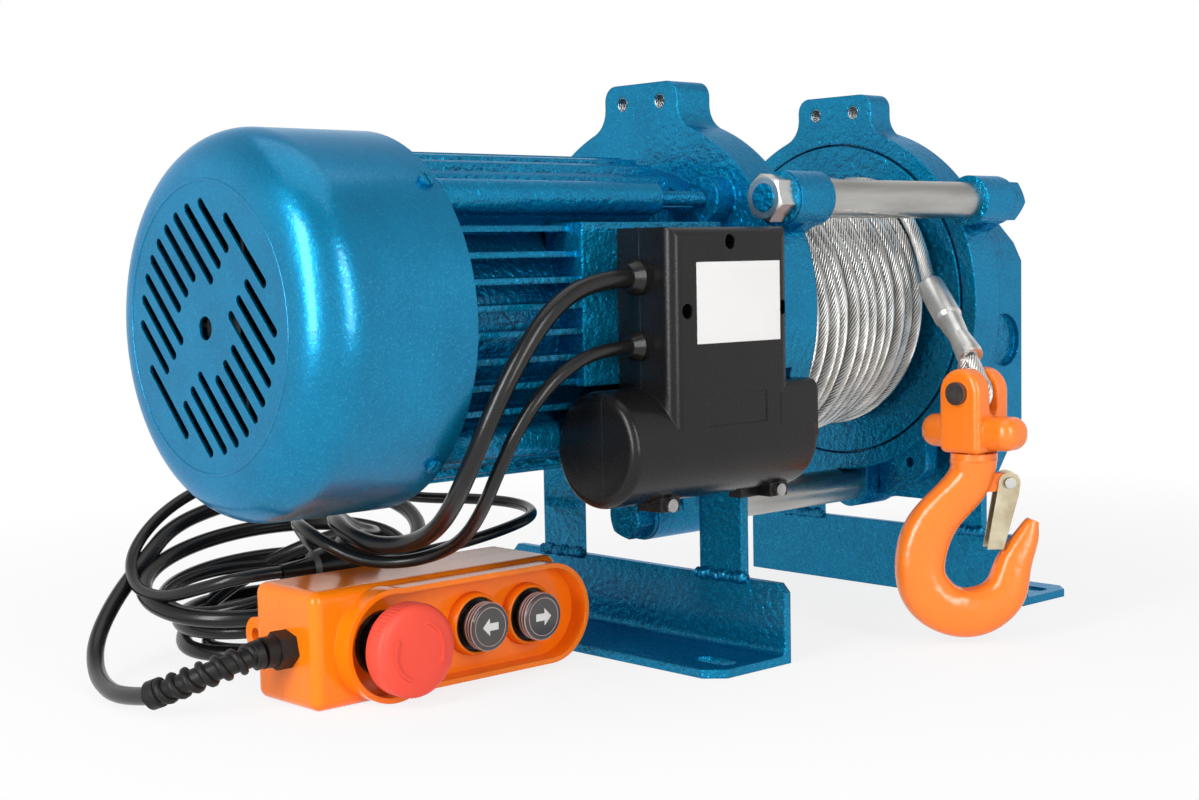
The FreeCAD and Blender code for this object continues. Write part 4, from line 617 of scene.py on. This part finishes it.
# %% [markdown]
# ## Free end of the rope
# The free end comes up between the turns, over the top and down to the crimped sleeve, and below the
# sleeve the rope goes round the clevis pin as an eye. Both are the same strands along a spline, so the
# rope keeps one look.

# %% Free end and eye
TAIL_R = 0.0860
TAIL_Y = 0.0425
LIFT_OFF = ((76, 0.0790, 0.0408), (70, 0.0815, 0.0412), (64, 0.0845, 0.0418))
OVER_TOP_DEGREES = (58, 46, 34)
TAIL_FALL = [(0.0995, 0.0385, 0.2380), (0.1090, 0.0315, 0.2235)]
SLEEVE_START = (0.116, 0.026, 0.2155)
SLEEVE_END = (0.162, 0.005, 0.1725)
PIN_PLACE = (0.165, 0.0035, 0.152)
EYE_R = 0.0094
EYE_DEGREES = range(60, -221, -40)
EYE_LAST = (0.158, 0.005, 0.1735)
FREE_STRAND_SIDES = 6


def on_drum(degrees, radius, y):
    """A place at this angle and distance from the drum's axis."""
    angle = math.radians(degrees)
    return (AXIS[0] + radius * math.cos(angle), y, AXIS[1] + radius * math.sin(angle))


tail_route = [on_drum(*spot) for spot in LIFT_OFF]
tail_route += [on_drum(degrees, TAIL_R, TAIL_Y) for degrees in OVER_TOP_DEGREES]
tail_route += TAIL_FALL + [SLEEVE_START, SLEEVE_END]
eye_route = [SLEEVE_END]
for degrees in EYE_DEGREES:
    across = EYE_R * math.cos(math.radians(degrees))
    up = EYE_R * math.sin(math.radians(degrees))
    eye_route.append((PIN_PLACE[0] + across, PIN_PLACE[1], PIN_PLACE[2] + up))
eye_route.append(EYE_LAST)
tail_line = centre_line(tail_route)
eye_line = centre_line(eye_route)
free_strands = sweep(strands(tail_line), STRAND_R, FREE_STRAND_SIDES)
eye_strands = sweep(strands(eye_line), STRAND_R, FREE_STRAND_SIDES)
tail = show("rope_free_end", free_strands, rope_wire, "frame", "wire_rope")
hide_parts("rope_tail")
# The cores of the free end and the eye are near-black too: painted shade between the strands.
show("rope_free_core", sweep([tail_line], ROPE_CORE_R, CORE_SIDES), rope_painted_shade, "frame", "wire_rope")
show("rope_eye", eye_strands, rope_wire, "frame", "wire_rope")
show("rope_eye_core", sweep([eye_line], ROPE_CORE_R, CORE_SIDES), rope_painted_shade, "frame", "wire_rope")
print("free end", round(length_of(tail_line), 3), "eye", round(length_of(eye_line), 3))

# %% [markdown]
# ## Turned pieces
# The tie rods end in hex nuts with chamfered corners, and a crease is pressed round the fan cover's face.
# Each is a row of rings about an axis. A spin of a profile would do for the crease, but a nut's wall
# changes round its turn, so each ring is a list of distances and heights worked out from a formula, and
# one function joins the rings into a mesh.

# %% Rings about an axis
FRONT = (1, 0, 0)
UP = (0, 0, 1)


def turned_mesh(rings, place, along, up, closed=True):
    """Rings about an axis through a place: closed into a hoop, or with a flat end on either side."""
    along = Vector(along).normalized()
    up = Vector(up).normalized()
    over = along.cross(up)
    steps = len(rings[0])
    count = len(rings)
    verts, faces = [], []
    for ring in rings:
        for k, (radius, height) in enumerate(ring):
            turn = 2 * math.pi * k / steps
            spoke = up * (radius * math.cos(turn)) + over * (radius * math.sin(turn))
            verts.append(Vector(place) + along * height + spoke)
    for r in range(count if closed else count - 1):
        for k in range(steps):
            a = r * steps + k
            b = r * steps + (k + 1) % steps
            c = ((r + 1) % count) * steps + (k + 1) % steps
            d = ((r + 1) % count) * steps + k
            faces.append((a, b, c, d))
    if not closed:
        faces.append(tuple(range(steps)))
        faces.append(tuple(range((count - 1) * steps, count * steps)))
    return verts, faces


def round_mesh(profile, place, along, steps, closed=True):
    """A profile of (radius, height) spots turned about an axis."""
    return turned_mesh([[spot] * steps for spot in profile], place, along, UP, closed)


def gather(parts):
    """Several lists of vertices and faces as one mesh."""
    verts, faces = [], []
    for more_verts, more_faces in parts:
        first = len(verts)
        verts += more_verts
        faces += [tuple(first + k for k in face) for face in more_faces]
    mesh = bpy.data.meshes.new("gathered")
    mesh.from_pydata(verts, [], faces)
    bm = bmesh.new()
    bm.from_mesh(mesh)
    bmesh.ops.recalc_face_normals(bm, faces=bm.faces)
    bm.to_mesh(mesh)
    bm.free()
    return mesh


print("turning helpers ready:", turned_mesh.__name__, gather.__name__)

# %% Hex nuts with chamfered corners
NUT_FLATS = 0.024
NUT_THICK = 0.013
NUT_STEPS = 72
CHAMFER_SHARE = 0.96
CHAMFER_SLOPE = math.tan(math.radians(30))
ROD_R = 0.008
TIE_PITCH_R = 0.1255
TIE_FACES = {30: (-0.126, 0.0815), 150: (-0.126, 0.0815), 270: (-0.1345, 0.0985)}
NUT_SIDES = ((-1, 17), (1, 6))
BARE_NUT = (30, -1)


def nut_rings():
    """Rings of a hex nut about its axis, each a list of (radius, height) round the turn."""
    rings = [[], [], [], [], []]
    inner = NUT_FLATS / 2 * CHAMFER_SHARE
    for k in range(NUT_STEPS):
        turn = 2 * math.pi * k / NUT_STEPS
        wall = NUT_FLATS / 2 / math.cos((turn + math.pi / 6) % (math.pi / 3) - math.pi / 6)
        drop = (wall - inner) * CHAMFER_SLOPE
        spots = ((ROD_R, 0.0), (wall, 0.0), (wall, NUT_THICK - drop), (inner, NUT_THICK), (ROD_R, NUT_THICK))
        for ring, spot in zip(rings, spots):
            ring.append(spot)
    return rings


painted_nuts, bare_nuts = [], []
for degrees, faces_y in TIE_FACES.items():
    for y, (out, tip) in zip(faces_y, NUT_SIDES):
        turn = math.radians(tip)
        place = on_drum(degrees, TIE_PITCH_R, y)
        nut = turned_mesh(nut_rings(), place, (0, out, 0), (math.sin(turn), 0, math.cos(turn)))
        (bare_nuts if (degrees, out) == BARE_NUT else painted_nuts).append(nut)
nut_set = show("tie_nut_set", gather(painted_nuts), cast_blue, "frame", "zinc", smooth=False)
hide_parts("tie_nuts")
show("bare_tie_nut", gather(bare_nuts), bright_zinc, "frame", "zinc", smooth=False)
print("nuts", len(painted_nuts), "painted,", len(bare_nuts), "bare")

# %% Pressed crease round the fan cover's face
COVER_FACE_Y = -0.4305
CREASE_SECTION = [
    (0.0722, -0.0002), (0.0726, 0.00028), (0.0734, 0.00034), (0.0741, 0.00020), (0.0745, -0.0003)]
CREASE_STEPS = 128
crease = round_mesh(CREASE_SECTION, (AXIS[0], COVER_FACE_Y, AXIS[1]), (0, -1, 0), CREASE_STEPS)
show("cover_crease", gather([crease]), sheet_blue, "frame", "blue_paint")
print("crease", len(crease[1]), "faces")

# %% [markdown]
# ## Threads and weld beads
# The lug holes and the motor's studs are threaded, and the posts are welded to the feet. Both could be a
# bump, but a bump leaves every edge smooth, so they are meshes. A thread is a thin tube along a helix. A
# weld bead is a tube whose radius and path ripple, as the welder's hand moved.

# %% Threads
THREAD_PITCH = 0.0015
THREAD_STEPS = 20
THREAD_SIDES = 6
LUG_HOLES = [(0.002, 0.3285), (0.034, 0.3285)]
LUG_HOLE_R = 0.00425
LUG_HOLE_DEPTH = 0.015
LUG_THREAD_R = 0.00045
LUG_FACES_Y = (-0.1272, 0.0523)
STUD_R = 0.0040
STUD_THREAD_R = 0.00055
STUD_SPAN_Y = (-0.1808, -0.1424)
STUD_OFFSET = 0.0636


def thread_line(x, z, start_y, length, radius):
    """A screw thread's line about an axis along Y."""
    turn = np.linspace(0, 2 * math.pi * length / THREAD_PITCH, int(length / THREAD_PITCH * THREAD_STEPS))
    forward = start_y + turn / (2 * math.pi) * THREAD_PITCH
    return np.stack([x + radius * np.cos(turn), forward, z + radius * np.sin(turn)], axis=1)


hole_threads = [thread_line(x, z, y, LUG_HOLE_DEPTH, LUG_HOLE_R) for y in LUG_FACES_Y for x, z in LUG_HOLES]
show("lug_hole_threads", sweep(hole_threads, LUG_THREAD_R, THREAD_SIDES), bright_zinc, "frame", "zinc")
stud_length = STUD_SPAN_Y[1] - STUD_SPAN_Y[0]
stud_threads = [thread_line(AXIS[0] + across, AXIS[1] + up, STUD_SPAN_Y[0], stud_length, STUD_R)
                for across in (-STUD_OFFSET, STUD_OFFSET) for up in (-STUD_OFFSET, STUD_OFFSET)]
show("stud_threads", sweep(stud_threads, STUD_THREAD_R, THREAD_SIDES), cast_blue, "frame", "blue_paint")
print("threads", len(hole_threads), "in holes,", len(stud_threads), "on studs")

# %% Weld beads
POST_X = 0.071
POST_HALF = 0.017
FOOT_TOP_Z = 0.0467
FOOT_FACES_Y = (-0.1188, 0.1182)
BEAD_R = 0.0031
BEAD_PAST_POST = 0.003
BEAD_HALF = POST_HALF + BEAD_PAST_POST
BEAD_STEPS = 90
BEAD_SIDES = 10
BEAD_RIPPLE = 0.0005
RIPPLE_WAVES = ((1900, 0), (430, 1))
BEAD_LIFT_RATE = 500
BEAD_DRIFT = 0.0004
BEAD_DRIFT_RATE = 700
DRIFT_START_RATE = 90


def bead_line(x, y, steps):
    """A weld's wavering line across the foot of a post."""
    drift = BEAD_DRIFT * np.sin(steps * BEAD_DRIFT_RATE + x * DRIFT_START_RATE)
    lift = BEAD_RIPPLE * np.sin(steps * BEAD_LIFT_RATE)
    return np.stack([x + steps, y + drift, FOOT_TOP_Z + lift], axis=1)


along_bead = np.linspace(-BEAD_HALF, BEAD_HALF, BEAD_STEPS)
bead_size = BEAD_R + BEAD_RIPPLE * sum(np.sin(along_bead * rate + start) for rate, start in RIPPLE_WAVES)
beads = [bead_line(x, y, along_bead) for x in (-POST_X, POST_X) for y in FOOT_FACES_Y]
show("weld_beads", sweep(beads, bead_size, BEAD_SIDES), cast_blue, "frame", "blue_paint")
print("beads", len(beads))

# %% [markdown]
# ## Strain relief
# A rubber spiral keeps the cable from kinking where it enters the pendant: a core, one rib wound round it
# and a plain collar at either end. A screw modifier could wind the rib, but only about a straight axis.
# Here the rib is a tube that winds about the core's own line, so it follows the bend.

# %% Spiral strain relief
RELIEF_ROUTE = [(-0.004, -0.391, 0.032), (-0.0055, -0.405, 0.0295), (-0.013, -0.418, 0.0245),
                (-0.025, -0.428, 0.018), (-0.042, -0.436, 0.011)]
RELIEF_STEP = 0.0006
RELIEF_CORE_R = 0.0056
CORE_EVERY = 4
RELIEF_CORE_SIDES = 20
RIB_R = 0.0023
RIB_SIDES = 10
RIB_REACH = 0.0058
RIB_PITCH = 0.0085
RIB_SPAN = slice(8, -6)
COLLAR_R = 0.0079
COLLAR_SIDES = 28
COLLAR_SPANS = (slice(0, 9), slice(-12, -1))


def even_places(places, step):
    """The same line with places an even step apart."""
    places = np.array([tuple(p) for p in places])
    gone = gone_along(places)
    wanted = np.arange(0, gone[-1], step)
    return np.stack([np.interp(wanted, gone, places[:, k]) for k in range(3)], axis=1)


relief_line = even_places(centre_line(RELIEF_ROUTE), RELIEF_STEP)
rib_turn = 2 * math.pi * np.arange(len(relief_line)) * RELIEF_STEP / RIB_PITCH
rib = round_line(relief_line, rib_turn, RIB_REACH)
relief_core = sweep([relief_line[::CORE_EVERY]], RELIEF_CORE_R, RELIEF_CORE_SIDES)
relief = show("relief_core", relief_core, relief_black, "frame", "cable_rubber")
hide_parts("pendant_strain_relief")
show("relief_spiral", sweep([rib[RIB_SPAN]], RIB_R, RIB_SIDES), relief_black, "frame", "cable_rubber")
relief_ends = [relief_line[span] for span in COLLAR_SPANS]
show("relief_collars", sweep(relief_ends, COLLAR_R, COLLAR_SIDES), relief_black, "frame", "cable_rubber")
print("strain relief", len(relief_line), "places")

# %% [markdown]
# ## Stop button
# The red mushroom head has fine ribs round its rim for the thumb and two raised curved arrows that say
# which way it twists free. A bump could draw both, but its edges would stay smooth. So the ribs are small
# steps in the rings of the rim, and the arrows are flat outlines raised off the face.

# %% Stop button with fine ribs
STOP_PLACE = (0.0, -0.330, 0.0315)
RIBBED_FROM = 0.0402
RIBBED_TO = 0.0494
STOP_PROFILE = [
    (0.0363, 0.0070), (0.0363, 0.0222), (0.0374, 0.0234), (0.0390, 0.0246), (RIBBED_FROM, 0.0252),
    (0.0440, 0.0253), (RIBBED_TO, 0.0253), (0.0508, 0.0248), (0.0519, 0.0234), (0.0526, 0.0214),
    (0.0530, 0.0190), (0.0534, 0.0120), (0.0536, 0.0050), (0.0536, 0.0012)]
STOP_RIBS = 64
STEPS_PER_RIB = 4
RIB_DEPTH = 0.00035
stop_rings = []
for x, r in STOP_PROFILE:
    depth = RIB_DEPTH if RIBBED_FROM <= x <= RIBBED_TO else 0.0
    one_rib = [depth if k < STEPS_PER_RIB / 2 else 0.0 for k in range(STEPS_PER_RIB)]
    stop_rings.append([(r - drop, x) for drop in one_rib * STOP_RIBS])
stop_mesh = gather([turned_mesh(stop_rings, STOP_PLACE, FRONT, UP, closed=False)])
stop = show("stop_button", stop_mesh, stop_red, "estop_cap", "red_plastic")
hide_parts("estop_head")
print("stop button", len(stop_mesh.polygons), "faces")

# %% Curved arrows on the stop button
STOP_ARROW_X = 0.0529
STOP_ARROW_THICK = 0.0010
STOP_ARROW_R = (0.0148, 0.0166)
STOP_ARROW_STARTS = (20, 200)
STOP_ARROW_DEGREES = 88
ARROW_HEAD_DEGREES = 14
ARROW_HEAD_REACH = 0.0017
ARC_STEPS = 12


def raised(outline, x, thick):
    """A thin slab over a flat outline of (y, z) corners that faces the front."""
    count = len(outline)
    verts = [(x, y, z) for y, z in outline] + [(x + thick, y, z) for y, z in outline]
    faces = [tuple(range(count)), tuple(range(2 * count - 1, count - 1, -1))]
    faces += [(k, (k + 1) % count, count + (k + 1) % count, count + k) for k in range(count)]
    return verts, faces


def on_stop(radius, angle):
    """A (y, z) spot on the stop button's face."""
    return (STOP_PLACE[1] + radius * math.sin(angle), STOP_PLACE[2] + radius * math.cos(angle))


def curved_arrow(start):
    """Outline of an arrow bent round the button's axis, as (y, z) corners."""
    inner, outer = STOP_ARROW_R
    arc = [math.radians(start + STOP_ARROW_DEGREES * k / ARC_STEPS) for k in range(ARC_STEPS + 1)]
    neck = arc[-1]
    tip = neck + math.radians(ARROW_HEAD_DEGREES)
    head = [on_stop(outer + ARROW_HEAD_REACH, neck), on_stop((inner + outer) / 2, tip),
            on_stop(inner - ARROW_HEAD_REACH, neck)]
    return [on_stop(outer, a) for a in arc] + head + [on_stop(inner, a) for a in reversed(arc)]


stop_arrows = [raised(curved_arrow(start), STOP_ARROW_X, STOP_ARROW_THICK) for start in STOP_ARROW_STARTS]
show("stop_arrows", gather(stop_arrows), stop_red, "estop_cap", "red_plastic", smooth=False)
print("stop arrows", len(stop_arrows))

# %% [markdown]
# ## Arrow buttons
# Each push-button has a grooved cap with pale rings and a white arrow, inside a moulded collar of the
# case. A picture on the cap could show the arrow, but a thin slab keeps its edge sharp at any distance.
# Cap, arrow and rings ride on the button's own body, so that they go in with it, and the collars stay
# with the case.

# %% Arrow buttons
ARROW = [(-0.0056, 0.0), (-0.0006, 0.0050), (-0.0006, 0.0021), (0.0056, 0.0021), (0.0056, -0.0021),
         (-0.0006, -0.0021), (-0.0006, -0.0050)]
ARROW_SINK = 0.0001
ARROW_THICK = 0.0003
BUTTONS = (("forward_push", -0.268, 1), ("reverse_push", -0.229, -1))
BUTTON_Z = 0.033
BUTTON_STEPS = 64
CAP_FRONT_X = 0.0364
CAP_R = 0.0133
CAP_PROFILE = [(0.0010, 0.03605), (0.01265, 0.03605), (0.01265, 0.0290), (CAP_R, 0.0290), (CAP_R, 0.0300),
               (0.0128, 0.0303), (0.0128, 0.0311), (CAP_R, 0.0314), (CAP_R, 0.0322), (0.0128, 0.0325),
               (0.0128, 0.0333), (CAP_R, 0.0336), (CAP_R, 0.0354), (0.0129, 0.0361), (0.0121, CAP_FRONT_X),
               (0.0010, CAP_FRONT_X)]
HOOPS = [
    (0.0307, 0.0132, 0.0005), (0.0329, 0.0132, 0.0005), (0.0352, 0.0132, 0.0005), (0.0363, 0.0108, 0.0003)]
HOOP_SIDES = 8
COLLAR_PROFILE = [(0.0152, 0.0195), (0.0152, 0.0254), (0.0156, 0.0262), (0.0163, 0.0264), (0.0170, 0.0259),
                  (0.0176, 0.0240), (0.0181, 0.0195)]


def hoop_section(x, radius, thin):
    """A round section of a ring, as (radius, height) spots."""
    around = np.linspace(0, 2 * math.pi, HOOP_SIDES, endpoint=False)
    return [(radius + thin * math.cos(turn), x + thin * math.sin(turn)) for turn in around]


button_collars = []
for body, y, way in BUTTONS:
    centre = (0, y, BUTTON_Z)
    cap = round_mesh(CAP_PROFILE, centre, FRONT, BUTTON_STEPS, closed=False)
    show(body + "_cap", gather([cap]), button_grey, body, "black_plastic", smooth=False)
    arrow = raised([(y + way * a, BUTTON_Z + b) for a, b in ARROW], CAP_FRONT_X - ARROW_SINK, ARROW_THICK)
    show(body + "_arrow", gather([arrow]), plate_white, body, "black_plastic", smooth=False)
    hoops = [round_mesh(hoop_section(*hoop), centre, FRONT, BUTTON_STEPS) for hoop in HOOPS]
    show(body + "_hoops", gather(hoops), ring_pink, body, "ring_plastic")
    button_collars.append(round_mesh(COLLAR_PROFILE, centre, FRONT, BUTTON_STEPS))
show("button_collars", gather(button_collars), pendant_orange, "frame", "orange_plastic")
print("caps, arrows, hoops and collars of", len(BUTTONS), "buttons")

# %% [markdown]
# ## Control box
# The box has a white plate on its front, left bare. Its round housing below has a square shoulder on the
# right, which runs flush with the box's front. A cube with a bevel could stand for it, but only one of
# its long edges is round. So it is one outline carried along the housing, drawn in a little at its end so
# that the edge catches light.

# %% Bare white plate
PLATE_Y = (-0.2150, -0.1505)
PLATE_Z = (0.190, 0.233)
PLATE_THICK = 0.0005
BOX_FRONT_X = 0.148
plate_outline = [
    (PLATE_Y[0], PLATE_Z[0]), (PLATE_Y[1], PLATE_Z[0]), (PLATE_Y[1], PLATE_Z[1]), (PLATE_Y[0], PLATE_Z[1])]
plate = gather([raised(plate_outline, BOX_FRONT_X, PLATE_THICK)])
show("bare_plate", plate, plate_white, "frame", "capacitor_can", smooth=False)
print("plate", PLATE_Y, PLATE_Z)

# %% Square shoulder beside the capacitor housing
SHOULDER_Y = (-0.1500, -0.1186)
SHOULDER_OUTLINE = [(0.106, 0.134), (0.1483, 0.134), (0.1483, 0.1605), (0.1476, 0.1638), (0.1458, 0.1660),
                    (0.1430, 0.1670), (0.106, 0.1670)]
SHOULDER_INSET = 0.0015


def slab_along_y(outline, rows):
    """A solid over an outline of (x, z) corners, carried along Y through rows of (y, inset)."""
    middle = np.mean(outline, axis=0)
    reach = np.max(np.abs(np.array(outline) - middle))
    count = len(outline)
    verts, faces = [], []
    for y, inset in rows:
        for x, z in middle + (np.array(outline) - middle) * (1 - inset / reach):
            verts.append((x, y, z))
    for r in range(len(rows) - 1):
        for k in range(count):
            a = r * count + k
            b = r * count + (k + 1) % count
            faces.append((a, b, b + count, a + count))
    faces.append(tuple(range(count)))
    faces.append(tuple(range((len(rows) - 1) * count, len(rows) * count)))
    return verts, faces


shoulder_rows = [(SHOULDER_Y[0], 0.0), (SHOULDER_Y[1] - SHOULDER_INSET, 0.0), (SHOULDER_Y[1], SHOULDER_INSET)]
shoulder = gather([slab_along_y(SHOULDER_OUTLINE, shoulder_rows)])
show("box_shoulder", shoulder, box_black, "frame", "black_plastic", smooth=False)
print("shoulder", SHOULDER_Y)

# %% [markdown]
# ## Light and floor
# The photograph is a white studio: two tall soft lamps near the camera, which show as pale streaks on the
# fan cover, one soft lamp overhead, and white all round. A picture of a studio could light it, but lamps
# can be placed one by one. The world is white where the camera looks at it and dimmer where it only
# lights, so colours render about as they are written. Mirrored rays see the same white, fading to a
# darker ceiling overhead. The floor is pale and fades to plain white away from the winch, so that only
# the soft shadow near it is left.

# %% Lamps
MIDDLE = (0.0, -0.10, 0.18)


def lamp(name, place, size, watts):
    """A soft lamp that faces the middle of the winch."""
    data = bpy.data.lights.new(name, "AREA")
    data.shape = "RECTANGLE"
    data.size, data.size_y = size
    data.energy = watts
    piece = add(name, data)
    piece.location = place
    piece.rotation_euler = (Vector(MIDDLE) - Vector(place)).to_track_quat("-Z", "Y").to_euler()


lamp("left_soft_lamp", place=(0.35, -1.75, 0.72), size=(0.44, 1.35), watts=25.0)
lamp("right_soft_lamp", place=(1.65, -0.45, 0.72), size=(0.38, 1.35), watts=15.0)
lamp("top_soft_lamp", place=(-0.1, -0.2, 1.9), size=(1.6, 1.6), watts=8.0)
print("lamps", len(bpy.data.lights))

# %% White world
WHITE = (1.0, 1.0, 1.0)
WORLD_LIGHT = 0.26
CEILING_SPAN = (0.30, 0.90)
CEILING_SHARE = 0.10


def rays(tree, kind):
    """1 where a ray of this kind meets the surface, and 0 for every other ray."""
    return tree.node("ShaderNodeLightPath", output="Is " + kind + " Ray")


studio = bpy.data.worlds.new("studio")
studio.use_nodes = True
bpy.context.scene.world = studio
sky = NodeTree(studio.node_tree)
sky.tree.nodes.remove(sky.tree.nodes["Background"])
direction = sky.node("ShaderNodeTexCoord", output="Generated")
upward = sky.node("ShaderNodeSeparateXYZ", {}, {0: direction}, output="Z")
ceiling = sky.node("ShaderNodeMapRange", {}, {
    "Value": upward, "From Min": CEILING_SPAN[0], "From Max": CEILING_SPAN[1], "To Min": 1.0,
    "To Max": CEILING_SHARE})
white_share = rays(sky, "Camera") + rays(sky, "Glossy") * ceiling + rays(sky, "Transmission")
lighting = sky.node("ShaderNodeBackground", {}, {"Color": WHITE, "Strength": WORLD_LIGHT})
backdrop = sky.node("ShaderNodeBackground", {}, {"Color": WHITE, "Strength": 1.0})
world_light = sky.node("ShaderNodeMixShader", {}, {0: white_share, 1: lighting, 2: backdrop})
sky.join(world_light, sky.tree.nodes["World Output"].inputs["Surface"])
print("world", studio.name, "lights at", WORLD_LIGHT)

# %% Pale floor
FLOOR_HALF = 6
FLOOR_Z = -0.0003
FLOOR_NEAR = 0.30
FLOOR_FAR = 0.85
FLOOR_GLOW = 0.82
floor_mesh = bpy.data.meshes.new("floor")
floor_corners = [(-FLOOR_HALF, -FLOOR_HALF, 0), (FLOOR_HALF, -FLOOR_HALF, 0), (FLOOR_HALF, FLOOR_HALF, 0),
                 (-FLOOR_HALF, FLOOR_HALF, 0)]
floor_mesh.from_pydata(floor_corners, [], [(0, 1, 2, 3)])
floor = add("floor", floor_mesh)
floor.location.z = FLOOR_Z
pale = Finish("pale_floor", Base_Color=(0.88, 0.88, 0.88), Roughness=0.9)
looked_at = rays(pale, "Camera") + rays(pale, "Glossy") + rays(pale, "Transmission")
distance = pale.node("ShaderNodeVectorMath", {"operation": "LENGTH"}, {0: pale.place}, output="Value")
far = pale.ramp(distance, (FLOOR_NEAR, FLOOR_GLOW), (FLOOR_FAR, 1.0))
glow = pale.node("ShaderNodeEmission", {}, {"Color": WHITE, "Strength": 1.0})
lit = Sock(pale, pale.shader.outputs[0])
surface = pale.node("ShaderNodeMixShader", {}, {0: looked_at * far, 1: lit, 2: glow})
pale.join(surface, pale.tree.nodes["Material Output"].inputs["Surface"])
floor_mesh.materials.append(pale.material)
print("floor", 2 * FLOOR_HALF, "m across")
